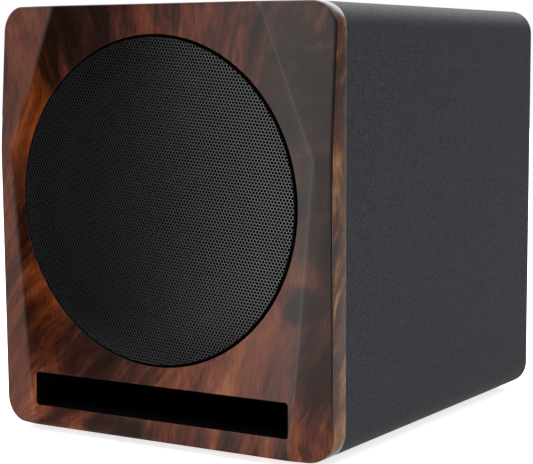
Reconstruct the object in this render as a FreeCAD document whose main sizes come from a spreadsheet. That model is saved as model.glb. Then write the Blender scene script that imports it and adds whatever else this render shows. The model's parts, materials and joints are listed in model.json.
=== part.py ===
import FreeCAD, Part
import math
import os
import re
import Sketcher

# Active 10-inch subwoofer. Design frame: X to the right, Y from the fascia's front plane to the back,
# Z up from the cabinet's underside. Every sub-part is then settled on its feet, centred in depth.

DIMENSIONS = {
    # cabinet
    "width": 339, "height": 370, "depth": 398, "corner_round": 22,
    "board": 18, "wrap": 0.5, "fascia": 27, "fascia_bevel": 0.8,
    # fascia facets: crease at the top, at the side node and at the bottom
    "crease_top_x": 104, "crease_node_x": 154.5, "crease_node_z": 243.7, "crease_low_x": 132.5,
    "edge_node_z": 245.4, "edge_node_y": 2.8,
    # openings
    "opening_radius": 140, "opening_z": 204.7,
    "port_width": 261.5, "port_top": 48, "port_round": 3, "port_length": 330, "shelf": 12,
    # grille
    "grille_radius": 138, "grille_proud": 1.7, "grille_crown": 2, "sheet": 1, "rim_round": 2, "skirt": 12,
    # woofer
    "flange_radius": 131, "flange_back": 26, "flange": 5, "bolt_ring": 124, "bolt_hole": 2.75,
    "baffle_hole": 117, "cone_radius": 98.5, "cone_thick": 1.8, "cone_depth": 41.2, "coil_radius": 25.4,
    "former_wall": 0.4, "winding": 1.2, "gap_front": 90, "top_plate": 8, "magnet": 26, "back_plate": 8,
    "magnet_radius": 78, "plate_radius": 62, "pole_radius": 24.3, "vent_radius": 8,
    # amplifier panel
    "panel_width": 244, "panel_height": 284, "panel": 3, "panel_z": 205, "cut_width": 208, "cut_height": 248,
    "housing_depth": 80, "housing_wall": 1.2, "knob_radius": 8.5, "knob_reach": 13, "shaft_radius": 3,
    "control_z": 285, "socket_z": 222, "mains_z": 112, "inlet_x": 62, "switch_x": 8, "rocker_tilt": 8,
    # brace and feet
    "brace": 15, "brace_y": 200, "foot_radius": 16, "foot_height": 6, "foot_x": 110,
    "foot_front_y": 70, "foot_back_y": 340, "foot_screw": 2.2,
}

doc = FreeCAD.newDocument("subwoofer")
dims = doc.addObject("Spreadsheet::Sheet", "dims")
for row, (alias, size) in enumerate(DIMENSIONS.items(), start=1):
    dims.set(f"A{row}", alias)
    dims.set(f"B{row}", str(size))
    dims.setAlias(f"B{row}", alias)
doc.recompute()

subparts = []


def linked(text):
    """Write a formula's dimension names as references to the sheet."""
    return re.sub(r"[a-z_]+", lambda word: "dims." + word[0] if word[0] in DIMENSIONS else word[0], str(text))


def value(text):
    return float(dims.evalExpression(linked(text)))


def bind(thing, prop, text):
    thing.setExpression(prop, linked(text))


def settle(thing, name, across="0", up="0", back="0"):
    """Name a finished sub-part and set it in the subwoofer's frame."""
    if thing.TypeId in ("Part::Box", "Part::Cylinder"):
        thing = group(name + "_set", [thing])
    thing.Label = name
    bind(thing, "Placement.Base.x", across)
    bind(thing, "Placement.Base.y", f"({back}) - {MIDDLE}")
    bind(thing, "Placement.Base.z", f"({up}) + foot_height")
    subparts.append(thing)
    return thing


# ---------------------------------------------------------------- sketches

def fix_point(page, geometry, point, across, up):
    for kind, text in (("DistanceX", across), ("DistanceY", up)):
        place = page.addConstraint(Sketcher.Constraint(kind, geometry, point, value(text)))
        page.setExpression(f"Constraints[{place}]", linked(text))


def fix_radius(page, geometry, text):
    place = page.addConstraint(Sketcher.Constraint("Radius", geometry, value(text)))
    page.setExpression(f"Constraints[{place}]", linked(text))


def arc_between(start, end, radius):
    """The short arc from start to end: anticlockwise for a positive radius, clockwise for a negative one."""
    chord = end - start
    rise = math.sqrt(max(radius ** 2 - (chord.Length / 2) ** 2, 0))
    left = FreeCAD.Vector(-chord.y, chord.x, 0).normalize()
    centre = (start + end) * 0.5 + left * math.copysign(rise, radius)
    angles = [math.atan2(point.y - centre.y, point.x - centre.x) for point in (start, end)]
    circle = Part.Circle(centre, FreeCAD.Vector(0, 0, 1), abs(radius))
    if radius > 0:
        return Part.ArcOfCircle(circle, angles[0], angles[1])
    return Part.ArcOfCircle(circle, angles[1], angles[0])


def draw(page, outline):
    """Draw a closed outline of (across, up) points; a third entry bends the edge to the next point."""
    corners = [FreeCAD.Vector(value(point[0]), value(point[1]), 0) for point in outline]
    edges = []
    for index, point in enumerate(outline):
        following = corners[(index + 1) % len(corners)]
        if len(point) == 2:
            edges.append((page.addGeometry(Part.LineSegment(corners[index], following), False), 1, 2))
            continue
        radius = value(point[2])
        arc = page.addGeometry(arc_between(corners[index], following, radius), False)
        edges.append((arc, 1, 2) if radius > 0 else (arc, 2, 1))
        fix_radius(page, arc, f"abs({point[2]})")
    for index, (edge, start, end) in enumerate(edges):
        fix_point(page, edge, start, outline[index][0], outline[index][1])
        after, after_start, after_end = edges[(index + 1) % len(edges)]
        page.addConstraint(Sketcher.Constraint("Coincident", edge, end, after, after_start))


def draw_circle(page, across, up, radius):
    centre = FreeCAD.Vector(value(across), value(up), 0)
    circle = page.addGeometry(Part.Circle(centre, FreeCAD.Vector(0, 0, 1), value(radius)), False)
    fix_point(page, circle, 3, across, up)
    fix_radius(page, circle, radius)


def rounded(left, right, low, high, radius):
    """Outline of a rectangle with round corners, run anticlockwise."""
    return [
        (f"({left}) + {radius}", low), (f"({right}) - {radius}", low, radius),
        (right, f"({low}) + {radius}"), (right, f"({high}) - {radius}", radius),
        (f"({right}) - {radius}", high), (f"({left}) + {radius}", high, radius),
        (left, f"({high}) - {radius}"), (left, f"({low}) + {radius}", radius),
    ]


def rectangle(left, right, low, high):
    return [(left, low), (right, low), (right, high), (left, high)]


# ---------------------------------------------------------------- bodies

def new_body(name):
    return doc.addObject("PartDesign::Body", name)


def new_sketch(owner, role, offset="0"):
    plane = next(feature for feature in owner.Origin.OriginFeatures if feature.Role == role)
    page = owner.newObject("Sketcher::SketchObject", owner.Name + "_sketch")
    page.AttachmentSupport = (plane, [""])
    page.MapMode = "FlatFace"
    bind(page, "AttachmentOffset.Base.z", offset)
    return page


def plate(name, outline, near, thick):
    """A board or plate drawn from the front, from depth near, thick towards the back."""
    made = new_body(name)
    page = new_sketch(made, "XZ_Plane", f"-({near})")
    draw(page, outline)
    pad = made.newObject("PartDesign::Pad", name + "_pad")
    pad.Profile = page
    pad.Reversed = True
    bind(pad, "Length", thick)
    return made


def cut_from_front(owner, near, deep, outlines=(), circles=()):
    """Pocket outlines and (across, up, radius) circles from depth near towards the back."""
    page = new_sketch(owner, "XZ_Plane", f"-({near})")
    for outline in outlines:
        draw(page, outline)
    for across, up, radius in circles:
        draw_circle(page, across, up, radius)
    pocket = owner.newObject("PartDesign::Pocket", owner.Name + "_pocket")
    pocket.Profile = page
    bind(pocket, "Length", deep)
    return pocket


def around_axis(owner, feature, count):
    """Repeat a feature round the body's own Y axis."""
    pattern = owner.newObject("PartDesign::PolarPattern", owner.Name + "_pattern")
    pattern.Originals = [feature]
    axis = next(item for item in owner.Origin.OriginFeatures if item.Role == "Y_Axis")
    pattern.Axis = (axis, [""])
    pattern.Angle = 360
    pattern.Occurrences = count
    owner.Tip = pattern
    return pattern


def turned(name, outline):
    """A piece turned about the Y axis from (along, radius) points."""
    made = new_body(name)
    page = new_sketch(made, "YZ_Plane")
    draw(page, outline)
    spin = made.newObject("PartDesign::Revolution", name + "_revolution")
    spin.Profile = page
    spin.ReferenceAxis = (page, ["H_Axis"])
    spin.Angle = 360
    return made


def tube(name, inner, outer, near, far):
    return turned(name, [(near, inner), (far, inner), (far, outer), (near, outer)])


# ---------------------------------------------------------------- primitives

AXIS_TURN = {
    "x": FreeCAD.Rotation(FreeCAD.Vector(0, 1, 0), 90),
    "y": FreeCAD.Rotation(FreeCAD.Vector(1, 0, 0), -90),
    "z": FreeCAD.Rotation(),
}


def stand(thing, corner):
    for axis, text in zip("xyz", corner):
        bind(thing, f"Placement.Base.{axis}", text)
    return thing


def block(name, corner, size):
    made = doc.addObject("Part::Box", name)
    for prop, text in zip(("Length", "Width", "Height"), size):
        bind(made, prop, text)
    return stand(made, corner)


def rod(name, corner, axis, radius, length):
    made = doc.addObject("Part::Cylinder", name)
    bind(made, "Radius", radius)
    bind(made, "Height", length)
    made.Placement.Rotation = AXIS_TURN[axis]
    return stand(made, corner)


def joined(name, pieces):
    made = doc.addObject("Part::MultiFuse", name)
    made.Shapes = pieces
    return made


def group(name, pieces):
    made = doc.addObject("Part::Compound", name)
    made.Links = pieces
    return made


def less(name, base, tools):
    made = doc.addObject("Part::Cut", name)
    made.Base = base
    made.Tool = tools[0] if len(tools) == 1 else group(name + "_tools", tools)
    return made


def screw(name, across, up, seat, head, head_radius, shank, shank_radius, toward):
    """A pan-head screw along Y: its head in front of the seat, or behind it when toward is -1."""
    head_start = f"({seat}) - {head}" if toward > 0 else seat
    shank_start = seat if toward > 0 else f"({seat}) - {shank}"
    cap = rod(name + "_head", (across, head_start, up), "y", head_radius, head)
    stem = rod(name + "_shank", (across, shank_start, up), "y", shank_radius, shank)
    return joined(name, [cap, stem])


# ---------------------------------------------------------------- shared places

REAR_REACH = "depth + panel + knob_reach + 0.5"
FRONT_REACH = "grille_proud + grille_crown"
MIDDLE = f"(({REAR_REACH}) - ({FRONT_REACH}))/2"
SIDE = "(width/2)"
INNER_X = "(width/2 - board)"
INNER_TOP = "(height - board)"
PORT_X = "(port_width/2)"
BAFFLE_BACK = "(fascia + board)"
REAR_INNER = "(depth - board)"
OUT = "(depth + panel)"


# ---------------------------------------------------------------- cabinet

def facet_cutter(name, points):
    """Everything in front of the plane through three points of a facet."""
    corners = [FreeCAD.Vector(*(value(text) for text in point)) for point in points]
    normal = (corners[1] - corners[0]).cross(corners[2] - corners[0]).normalize()
    if normal.y > 0:
        normal = -normal
    reach = value("2*height")
    face = Part.makePlane(reach, reach, FreeCAD.Vector(0, 0, 0), FreeCAD.Vector(0, 0, 1))
    face.translate(FreeCAD.Vector(-reach / 2, -reach / 2, 0))
    turn = FreeCAD.Rotation(FreeCAD.Vector(0, 0, 1), normal)
    face.Placement = FreeCAD.Placement(corners[1], turn).multiply(face.Placement)
    made = doc.addObject("Part::Feature", name)
    made.Shape = face.extrude(normal * value("fascia"))
    return made


def edges_at(thing, test):
    """Numbers of the edges whose ends and middle all pass a test."""
    found = []
    for number, edge in enumerate(thing.Shape.Edges, start=1):
        spots = [vertex.Point for vertex in edge.Vertexes]
        spots.append(edge.valueAt((edge.FirstParameter + edge.LastParameter) / 2))
        if all(test(spot) for spot in spots):
            found.append(number)
    return found


def front_fascia():
    """Faceted front board with the driver opening and the port slot, bevelled at its rear edge."""
    blank = plate("fascia_blank", rounded(f"-{SIDE}", SIDE, "0", "height", "corner_round"), "0", "fascia")
    cut_from_front(blank, "0", "fascia", circles=[("0", "opening_z", "opening_radius")])
    port = rounded(f"-{PORT_X}", PORT_X, "board", "port_top", "port_round")
    cut_from_front(blank, "0", "fascia", outlines=[port])
    node = ("crease_node_x", "0", "crease_node_z")
    edge_node = (SIDE, "edge_node_y", "edge_node_z")
    cutters = []
    for name, end in (("upper", ("crease_top_x", "0", "height")), ("lower", ("crease_low_x", "0", "0"))):
        right = facet_cutter(name + "_facet", (end, node, edge_node))
        left = doc.addObject("Part::Mirroring", name + "_facet_left")
        left.Source = right
        left.Normal = (1, 0, 0)
        cutters += [right, left]
    faceted = less("fascia_faceted", blank, cutters)
    doc.recompute()
    back = value("fascia")
    hole = value("opening_radius") + 1
    axis = FreeCAD.Vector(0, back, value("opening_z"))
    port_x = value("port_width") / 2 + 1

    def on_outer_rear(spot):
        in_port = abs(spot.x) < port_x and 1 < spot.z < value("port_top") + 1
        return abs(spot.y - back) < 0.01 and (spot - axis).Length > hole and not in_port

    bevelled = doc.addObject("Part::Chamfer", "front_fascia")
    bevelled.Base = faceted
    bevel = value("fascia_bevel")
    bevelled.Edges = [(number, bevel, bevel) for number in edges_at(faceted, on_outer_rear)]
    settle(bevelled, "front_fascia")


HALF_ROUND = "(corner_round - wrap)"
MITRE = f"({HALF_ROUND}*(1 - sqrt(0.5)) + wrap)"


def side_panel(name, side):
    """A side board, mitred to its neighbours inside the round corners; side is 1 right, -1 left."""
    outer = f"{side}*({SIDE} - wrap)"
    mitre = f"{side}*({SIDE} - {MITRE})"
    inner = f"{side}*{INNER_X}"
    bend = f"{side}*{HALF_ROUND}"
    outline = [
        (inner, "board"), (mitre, MITRE, bend), (outer, "corner_round"),
        (outer, "height - corner_round", bend), (mitre, f"height - {MITRE}"), (inner, INNER_TOP),
    ]
    settle(plate(name, outline, "fascia", "depth - fascia"), name)


def flat_panel(name, edge, inward):
    """The top or bottom board, from its outer edge height inward (1 up, -1 down)."""
    outer = f"{edge} + {inward}*wrap"
    mitre = f"{edge} + {inward}*{MITRE}"
    inner = f"{edge} + {inward}*board"
    bend = f"{inward}*{HALF_ROUND}"
    round_x = f"({SIDE} - corner_round)"
    mitre_x = f"({SIDE} - {MITRE})"
    outline = [
        (f"-{INNER_X}", inner), (f"-{mitre_x}", mitre, bend), (f"-{round_x}", outer),
        (round_x, outer, bend), (mitre_x, mitre), (INNER_X, inner),
    ]
    return plate(name, outline, "fascia", "depth - fascia")


def foot_places():
    return [(f"{side}*foot_x", back) for side in (-1, 1) for back in ("foot_front_y", "foot_back_y")]


def top_and_bottom():
    settle(flat_panel("top_panel", "height", -1), "top_panel")
    board = flat_panel("bottom_board", "0", 1)
    pilots = [
        rod(f"foot_pilot_{index}", (across, back, "0"), "z", "foot_screw", "board - 4")
        for index, (across, back) in enumerate(foot_places())
    ]
    settle(less("bottom_panel", board, pilots), "bottom_panel")


def vinyl_wrap():
    """Thin textured skin round the four boards."""
    outline = rounded(f"-{SIDE}", SIDE, "0", "height", "corner_round")
    made = plate("vinyl_wrap", outline, "fascia", "depth - fascia")
    hollow = rounded(f"-({SIDE} - wrap)", f"{SIDE} - wrap", "wrap", "height - wrap", HALF_ROUND)
    cut_from_front(made, "fascia", "depth - fascia", outlines=[hollow])
    doc.recompute()
    page = new_sketch(made, "XY_Plane", "-1")
    for across, back in foot_places():
        draw_circle(page, across, back, "foot_screw")
    holes = made.newObject("PartDesign::Pocket", "wrap_foot_holes")
    holes.Profile = page
    holes.Reversed = True
    bind(holes, "Length", "wrap + 2")
    settle(made, "vinyl_wrap")


def inner_baffle():
    """Structural board behind the fascia that carries the driver."""
    made = plate("inner_baffle", rectangle(f"-{INNER_X}", INNER_X, "board", INNER_TOP), "fascia", "board")
    cut_from_front(made, "fascia", "board", circles=[("0", "opening_z", "baffle_hole")])
    port = rounded(f"-{PORT_X}", PORT_X, "board - port_round", "port_top", "port_round")
    cut_from_front(made, "fascia", "board", outlines=[port])
    pilots = [
        (f"bolt_ring*cos({angle})", f"opening_z + bolt_ring*sin({angle})", "bolt_hole - 0.25")
        for angle in BOLT_ANGLES
    ]
    cut_from_front(made, "fascia", "board", circles=pilots)
    settle(made, "inner_baffle")


BOLT_ANGLES = [22.5 + 45 * turn for turn in range(8)]
PANEL_SCREW_X = "(panel_width/2 - 9)"
PANEL_SCREW_STEP = 67
PANEL_SCREWS = [(side, row) for side in (-1, 1) for row in (-2, -1, 0, 1, 2)]


def panel_screw_circles(radius):
    return [
        (f"{side}*{PANEL_SCREW_X}", f"panel_z + {row * PANEL_SCREW_STEP}", radius)
        for side, row in PANEL_SCREWS
    ]


def back_panel():
    """Rear board let in between the others, with the amplifier's opening."""
    made = plate("back_panel", rectangle(f"-{INNER_X}", INNER_X, "board", INNER_TOP), REAR_INNER, "board")
    opening = rectangle("-cut_width/2", "cut_width/2", "panel_z - cut_height/2", "panel_z + cut_height/2")
    cut_from_front(made, REAR_INNER, "board", outlines=[opening])
    cut_from_front(made, REAR_INNER, "board", circles=panel_screw_circles("2"))
    settle(made, "back_panel")


def port_and_brace():
    deep = f"port_length - {BAFFLE_BACK}"
    shelf_size = (f"2*{INNER_X}", deep, "shelf")
    settle(block("shelf_board", (f"-{INNER_X}", BAFFLE_BACK, "port_top"), shelf_size), "port_shelf")
    spacer_size = (f"{INNER_X} - {PORT_X}", deep, "port_top - board")
    spacers = [
        block(f"port_spacer_{index}", (left, BAFFLE_BACK, "board"), spacer_size)
        for index, left in enumerate((f"-{INNER_X}", PORT_X))
    ]
    settle(group("port_side_spacers", spacers), "port_side_spacers")
    shelf_top = "port_top + shelf"
    brace = plate("window_brace", rectangle(f"-{INNER_X}", INNER_X, shelf_top, INNER_TOP), "brace_y", "brace")
    window = rounded(f"-({INNER_X} - 40)", f"{INNER_X} - 40", f"{shelf_top} + 30", f"{INNER_TOP} - 35", "20")
    cut_from_front(brace, "brace_y", "brace", outlines=[window])
    settle(brace, "window_brace")


def acoustic_wadding():
    """Soft absorbent mats on the side and top walls, in front of the brace and behind it."""
    gap = 0.6
    thick = 22
    low = f"port_top + shelf + {gap}"
    bays = ((f"{BAFFLE_BACK} + 4", "brace_y - 4"), ("brace_y + brace + 4", f"{REAR_INNER} - 4"))
    mats = []
    for bay, (near, far) in enumerate(bays):
        deep = f"({far}) - ({near})"
        tall = f"{INNER_TOP} - {gap} - ({low})"
        upright = (f"{thick}", deep, tall)
        level = (f"2*({INNER_X} - {2 * gap + thick})", deep, f"{thick}")
        mats.append(block(f"left_mat_{bay}", (f"-{INNER_X} + {gap}", near, low), upright))
        mats.append(block(f"right_mat_{bay}", (f"{INNER_X} - {gap + thick}", near, low), upright))
        hung = f"{INNER_TOP} - {gap + thick}"
        mats.append(block(f"top_mat_{bay}", (f"-{INNER_X} + {2 * gap + thick}", near, hung), level))
    settle(group("acoustic_wadding", mats), "acoustic_wadding")


def feet():
    """Four round rubber feet, each held by a screw in a counterbore."""
    pads = []
    screws = []
    for index, (across, back) in enumerate(foot_places()):
        under = (across, back, "-foot_height")
        pad = rod(f"foot_pad_{index}", under, "z", "foot_radius", "foot_height")
        bore = rod(f"foot_bore_{index}", under, "z", "foot_screw", "foot_height")
        seat = rod(f"foot_seat_{index}", under, "z", "6", "foot_height/2")
        pads.append(less(f"foot_{index}", pad, [bore, seat]))
        head = rod(f"foot_screw_head_{index}", (across, back, "-foot_height/2 - 2.2"), "z", "5", "2.2")
        shank = "foot_height/2 + 12"
        stem = rod(f"foot_screw_shank_{index}", (across, back, "-foot_height/2"), "z", "foot_screw", shank)
        screws.append(joined(f"foot_screw_{index}", [head, stem]))
    settle(group("rubber_feet", pads), "rubber_feet")
    settle(group("feet_screws", screws), "feet_screws")


# ---------------------------------------------------------------- grille

def grille():
    """Crowned steel sheet with a rolled rim and a short skirt; the perforation is not cut here."""
    crown_radius = "((grille_radius - rim_round)^2 + grille_crown^2)/(2*grille_crown)"
    flat = "grille_radius - rim_round"
    edge = "(rim_round - grille_proud)"
    outline = [
        (f"-({FRONT_REACH})", "0", f"-({crown_radius})"),
        ("-grille_proud", flat, "-rim_round"),
        (edge, "grille_radius"),
        ("skirt", "grille_radius"),
        ("skirt", "grille_radius - sheet"),
        (edge, "grille_radius - sheet", "rim_round - sheet"),
        ("sheet - grille_proud", flat, crown_radius),
        (f"sheet - ({FRONT_REACH})", "0"),
    ]
    settle(turned("grille", outline), "grille", up="opening_z")
    ring = [
        ("3", "grille_radius - 5.5"), ("fascia", "grille_radius - 5.5"),
        ("fascia", "grille_radius + 1.5"), ("skirt + 1", "grille_radius + 1.5"),
        ("skirt + 1", "grille_radius - 1.5"), ("3", "grille_radius - 1.5"),
    ]
    settle(turned("grille_ring", ring), "grille_ring", up="opening_z")


# ---------------------------------------------------------------- woofer

FLANGE_FRONT = "(flange_back - flange)"
CONE_SLOPE = "(cone_depth/(cone_radius - 6.5 - coil_radius))"
BASKET_BACK = "gap_front"


def basket():
    """Cast frame: bolted flange, tapered wall with six windows, and the shelf that holds the spider."""
    outline = [
        (FLANGE_FRONT, "flange_radius"), ("flange_back", "flange_radius"), ("flange_back", "114.5"),
        ("flange_back + 20", "111"), (f"{BASKET_BACK} - 6", "plate_radius + 10"),
        (BASKET_BACK, "plate_radius + 10"),
        (BASKET_BACK, "34"), (f"{BASKET_BACK} - 5", "34"), (f"{BASKET_BACK} - 5", "60"),
        (f"{BASKET_BACK} - 16", "60"), (f"{BASKET_BACK} - 16", "78.5"), ("flange_back + 20", "107.5"),
        ("flange_back + 4", "111"), (FLANGE_FRONT, "111"),
    ]
    made = turned("woofer_basket", outline)
    page = new_sketch(made, "XY_Plane", "70")
    draw(page, rectangle("-27", "27", "flange_back + 24", f"{BASKET_BACK} - 18"))
    window = made.newObject("PartDesign::Pocket", "basket_window")
    window.Profile = page
    window.Reversed = True
    bind(window, "Length", "flange_radius")
    around_axis(made, window, 6)
    doc.recompute()
    angle = BOLT_ANGLES[0]
    hole = (f"bolt_ring*cos({angle})", f"bolt_ring*sin({angle})", "bolt_hole")
    around_axis(made, cut_from_front(made, FLANGE_FRONT, "flange", circles=[hole]), len(BOLT_ANGLES))
    settle(made, "woofer_basket", up="opening_z")
    gasket = tube("basket_gasket", "115", "bolt_ring - 3.5", "flange_back", "fascia")
    settle(gasket, "basket_gasket", up="opening_z")
    screws = [
        screw(f"woofer_screw_{index}", f"bolt_ring*cos({turn})", f"bolt_ring*sin({turn})",
              FLANGE_FRONT, "3.2", "5", "22", "bolt_hole - 0.25", 1)
        for index, turn in enumerate(BOLT_ANGLES)
    ]
    settle(group("woofer_screws", screws), "woofer_screws", up="opening_z")


def diaphragm():
    """Rubber surround, cone, dust cap, coil former and winding."""
    lip = f"({FLANGE_FRONT} - 1)"
    surround = [
        (lip, "119"), (FLANGE_FRONT, "119"), (FLANGE_FRONT, "111.8", "6.35"), (FLANGE_FRONT, "99.2"),
        (FLANGE_FRONT, "94"), (lip, "94"), (lip, "98", "-7.55"), (lip, "113"),
    ]
    settle(turned("surround", surround), "surround", up="opening_z")
    shoulder = "(cone_radius - 6.5)"
    neck = f"({FLANGE_FRONT} + cone_depth)"
    cone = [
        (FLANGE_FRONT, "cone_radius"), (f"{FLANGE_FRONT} + cone_thick", "cone_radius"),
        (f"{FLANGE_FRONT} + cone_thick", shoulder), (f"{neck} + cone_thick", "coil_radius"),
        (neck, "coil_radius"), (FLANGE_FRONT, shoulder),
    ]
    settle(turned("cone", cone), "cone", up="opening_z")
    cap_back = f"({FLANGE_FRONT} + ({shoulder} - 47)*{CONE_SLOPE} - 0.5)"
    rise = 13.4
    cap = [
        (f"{cap_back} - {rise}", "0", f"-(47^2 + {rise}^2)/(2*{rise})"), (cap_back, "47"),
        (cap_back, "45.5", f"(45.5^2 + {rise - 1.2}^2)/(2*{rise - 1.2})"),
        (f"{cap_back} - {rise - 1.2}", "0"),
    ]
    settle(turned("dust_cap", cap), "dust_cap", up="opening_z")
    coil_end = "gap_front + top_plate + 8"
    former = tube("voice_coil_former", "coil_radius - former_wall", "coil_radius", f"{neck} - 2", coil_end)
    settle(former, "voice_coil_former", up="opening_z")
    winding = tube("voice_coil_winding", "coil_radius", "coil_radius + winding", "gap_front - 8", coil_end)
    settle(winding, "voice_coil_winding", up="opening_z")


def spider():
    """Corrugated cloth disc between the coil former and the basket's shelf."""
    shelf_front = f"{BASKET_BACK} - 16"
    cloth = 0.6
    waves = 5
    pitch = f"((60 - coil_radius - 4)/{2 * waves})"
    ridge = [(f"{shelf_front} - {cloth}", "64")]
    valley = [(shelf_front, "64")]
    for step in range(2 * waves + 1):
        height = 3.5 if step % 2 else 0
        radius = f"60 - {step}*{pitch}"
        ridge.append((f"{shelf_front} - {cloth + height}", radius))
        valley.append((f"{shelf_front} - {height}", radius))
    ridge.append((f"{shelf_front} - {cloth}", "coil_radius"))
    valley.append((shelf_front, "coil_radius"))
    settle(turned("spider", ridge + valley[::-1]), "spider", up="opening_z")


def motor():
    """Ferrite motor: top plate, magnet and a vented pole on its back plate."""
    top = tube("magnet_top_plate", "coil_radius + 2", "plate_radius", "gap_front", "gap_front + top_plate")
    settle(top, "magnet_top_plate", up="opening_z")
    magnet_front = "gap_front + top_plate"
    magnet = tube("ferrite_magnet", "36", "magnet_radius", magnet_front, f"{magnet_front} + magnet")
    settle(magnet, "ferrite_magnet", up="opening_z")
    yoke_front = f"({magnet_front} + magnet)"
    yoke = [
        ("gap_front - 1", "vent_radius"), (f"{yoke_front} + back_plate", "vent_radius"),
        (f"{yoke_front} + back_plate", "magnet_radius - 8"), (yoke_front, "magnet_radius - 8"),
        (yoke_front, "pole_radius"), ("gap_front - 1", "pole_radius"),
    ]
    settle(turned("pole_plate", yoke), "pole_plate", up="opening_z")


TERMINAL_X = 7
TERMINAL_DROP = "(plate_radius + 9)"
WIRE_RADIUS = 1.4


def woofer_wiring():
    """Terminal strip on the basket, flexible leads to the cone and the wires from the amplifier."""
    low = f"-{TERMINAL_DROP}"
    base = block("terminal_base", ("-11", BASKET_BACK, low), ("22", "2.4", "8"))
    tab_front = f"{BASKET_BACK} + 2.4"
    tabs = [
        block(f"terminal_tab_{side}", (f"{side * TERMINAL_X} - 2.4", tab_front, low), ("4.8", "3.6", "7"))
        for side in (-1, 1)
    ]
    settle(joined("terminal_strip", [base] + tabs), "terminal_strip", up="opening_z")
    leads = []
    for side in (-1, 1):
        lead = rod(f"lead_{side}", (f"{side * TERMINAL_X}", f"{BASKET_BACK} - 16.7", "-70"), "z", "0.8", "29")
        start = FreeCAD.Vector(0, value(f"{BASKET_BACK} - 16.7"), -70)
        end = FreeCAD.Vector(0, value(f"{FLANGE_FRONT} + cone_thick + 40*{CONE_SLOPE} + 1.6"), -52)
        bind(lead, "Height", f"{(end - start).Length:.3f}")
        lead.Placement.Rotation = FreeCAD.Rotation(FreeCAD.Vector(0, 0, 1), end - start)
        leads.append(lead)
    settle(group("tinsel_leads", leads), "tinsel_leads", up="opening_z")
    for name, side in (("speaker_wire_red", 1), ("speaker_wire_black", -1)):
        settle(speaker_wire(name, f"{side * TERMINAL_X}"), name)


def speaker_wire(name, across):
    """A wire straight down from the terminal, round one bend, and back to the amplifier housing."""
    along = f"({BASKET_BACK} + 4.2)"
    bend = 24
    top = f"(opening_z - {TERMINAL_DROP})"
    run_z = f"({top} - {bend + 8})"
    down = rod(name + "_down", (across, along, f"{run_z} + {bend}"), "z", f"{WIRE_RADIUS}", "8")
    turn = doc.addObject("Part::Torus", name + "_bend")
    bind(turn, "Radius1", f"{bend}")
    bind(turn, "Radius2", f"{WIRE_RADIUS}")
    turn.Angle3 = 90
    forward = FreeCAD.Vector(0, -1, 0)
    downward = FreeCAD.Vector(0, 0, -1)
    turn.Placement.Rotation = FreeCAD.Rotation(forward, downward, FreeCAD.Vector(1, 0, 0), "XYZ")
    stand(turn, (across, f"{along} + {bend}", f"{run_z} + {bend}"))
    start = f"{along} + {bend}"
    run = f"depth - housing_depth - ({start})"
    level = rod(name + "_level", (across, start, run_z), "y", f"{WIRE_RADIUS}", run)
    return joined(name, [down, turn, level])


# ---------------------------------------------------------------- amplifier

HOUSING_X = "(cut_width/2 - 1)"
HOUSING_LOW = "(panel_z - cut_height/2 + 1)"
HOUSING_HIGH = "(panel_z + cut_height/2 - 1)"
HOUSING_FRONT = "(depth - housing_depth)"
CONTROL_X = {"level": 60, "crossover": 15}
PHASE_X = -34
SOCKET_X = {"input_left": 78, "input_right": 42, "output_left": -10, "output_right": -46}
LED_X = 92


def amp_plate():
    made = plate("amp_plate", rounded("-panel_width/2", "panel_width/2", "panel_z - panel_height/2",
                                      "panel_z + panel_height/2", "6"), "depth", "panel")
    cut_from_front(made, "depth", "panel", circles=panel_screw_circles("2.2"))
    round_holes = [(f"{across}", "control_z", "4.6") for across in CONTROL_X.values()]
    round_holes += [(f"{across}", "socket_z", "12") for across in SOCKET_X.values()]
    round_holes.append((f"{LED_X}", "control_z", "1.6"))
    cut_from_front(made, "depth", "panel", circles=round_holes)
    slots = [rectangle(f"{PHASE_X} - 5", f"{PHASE_X} + 5", "control_z - 2.2", "control_z + 2.2")]
    slots.append(rectangle("inlet_x - 15", "inlet_x + 15", "mains_z - 20", "mains_z + 13"))
    slots.append(rectangle("switch_x - 11", "switch_x + 11", "mains_z - 14", "mains_z + 14"))
    cut_from_front(made, "depth", "panel", outlines=slots)
    settle(made, "amp_plate")
    screws = [
        screw(f"amp_screw_{index}", across, up, OUT, "2.4", "4", "16", "2", -1)
        for index, (across, up, radius) in enumerate(panel_screw_circles("2"))
    ]
    settle(group("amp_plate_screws", screws), "amp_plate_screws")


def amp_housing():
    """Sealed box behind the plate that keeps the electronics out of the air volume."""
    outer = plate("amp_housing", rectangle(f"-{HOUSING_X}", HOUSING_X, HOUSING_LOW, HOUSING_HIGH),
                  HOUSING_FRONT, "housing_depth")
    inner = rectangle(f"-({HOUSING_X} - housing_wall)", f"{HOUSING_X} - housing_wall",
                      f"{HOUSING_LOW} + housing_wall", f"{HOUSING_HIGH} - housing_wall")
    cut_from_front(outer, f"{HOUSING_FRONT} + housing_wall", "housing_depth", outlines=[inner])
    settle(outer, "amp_housing")


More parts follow.
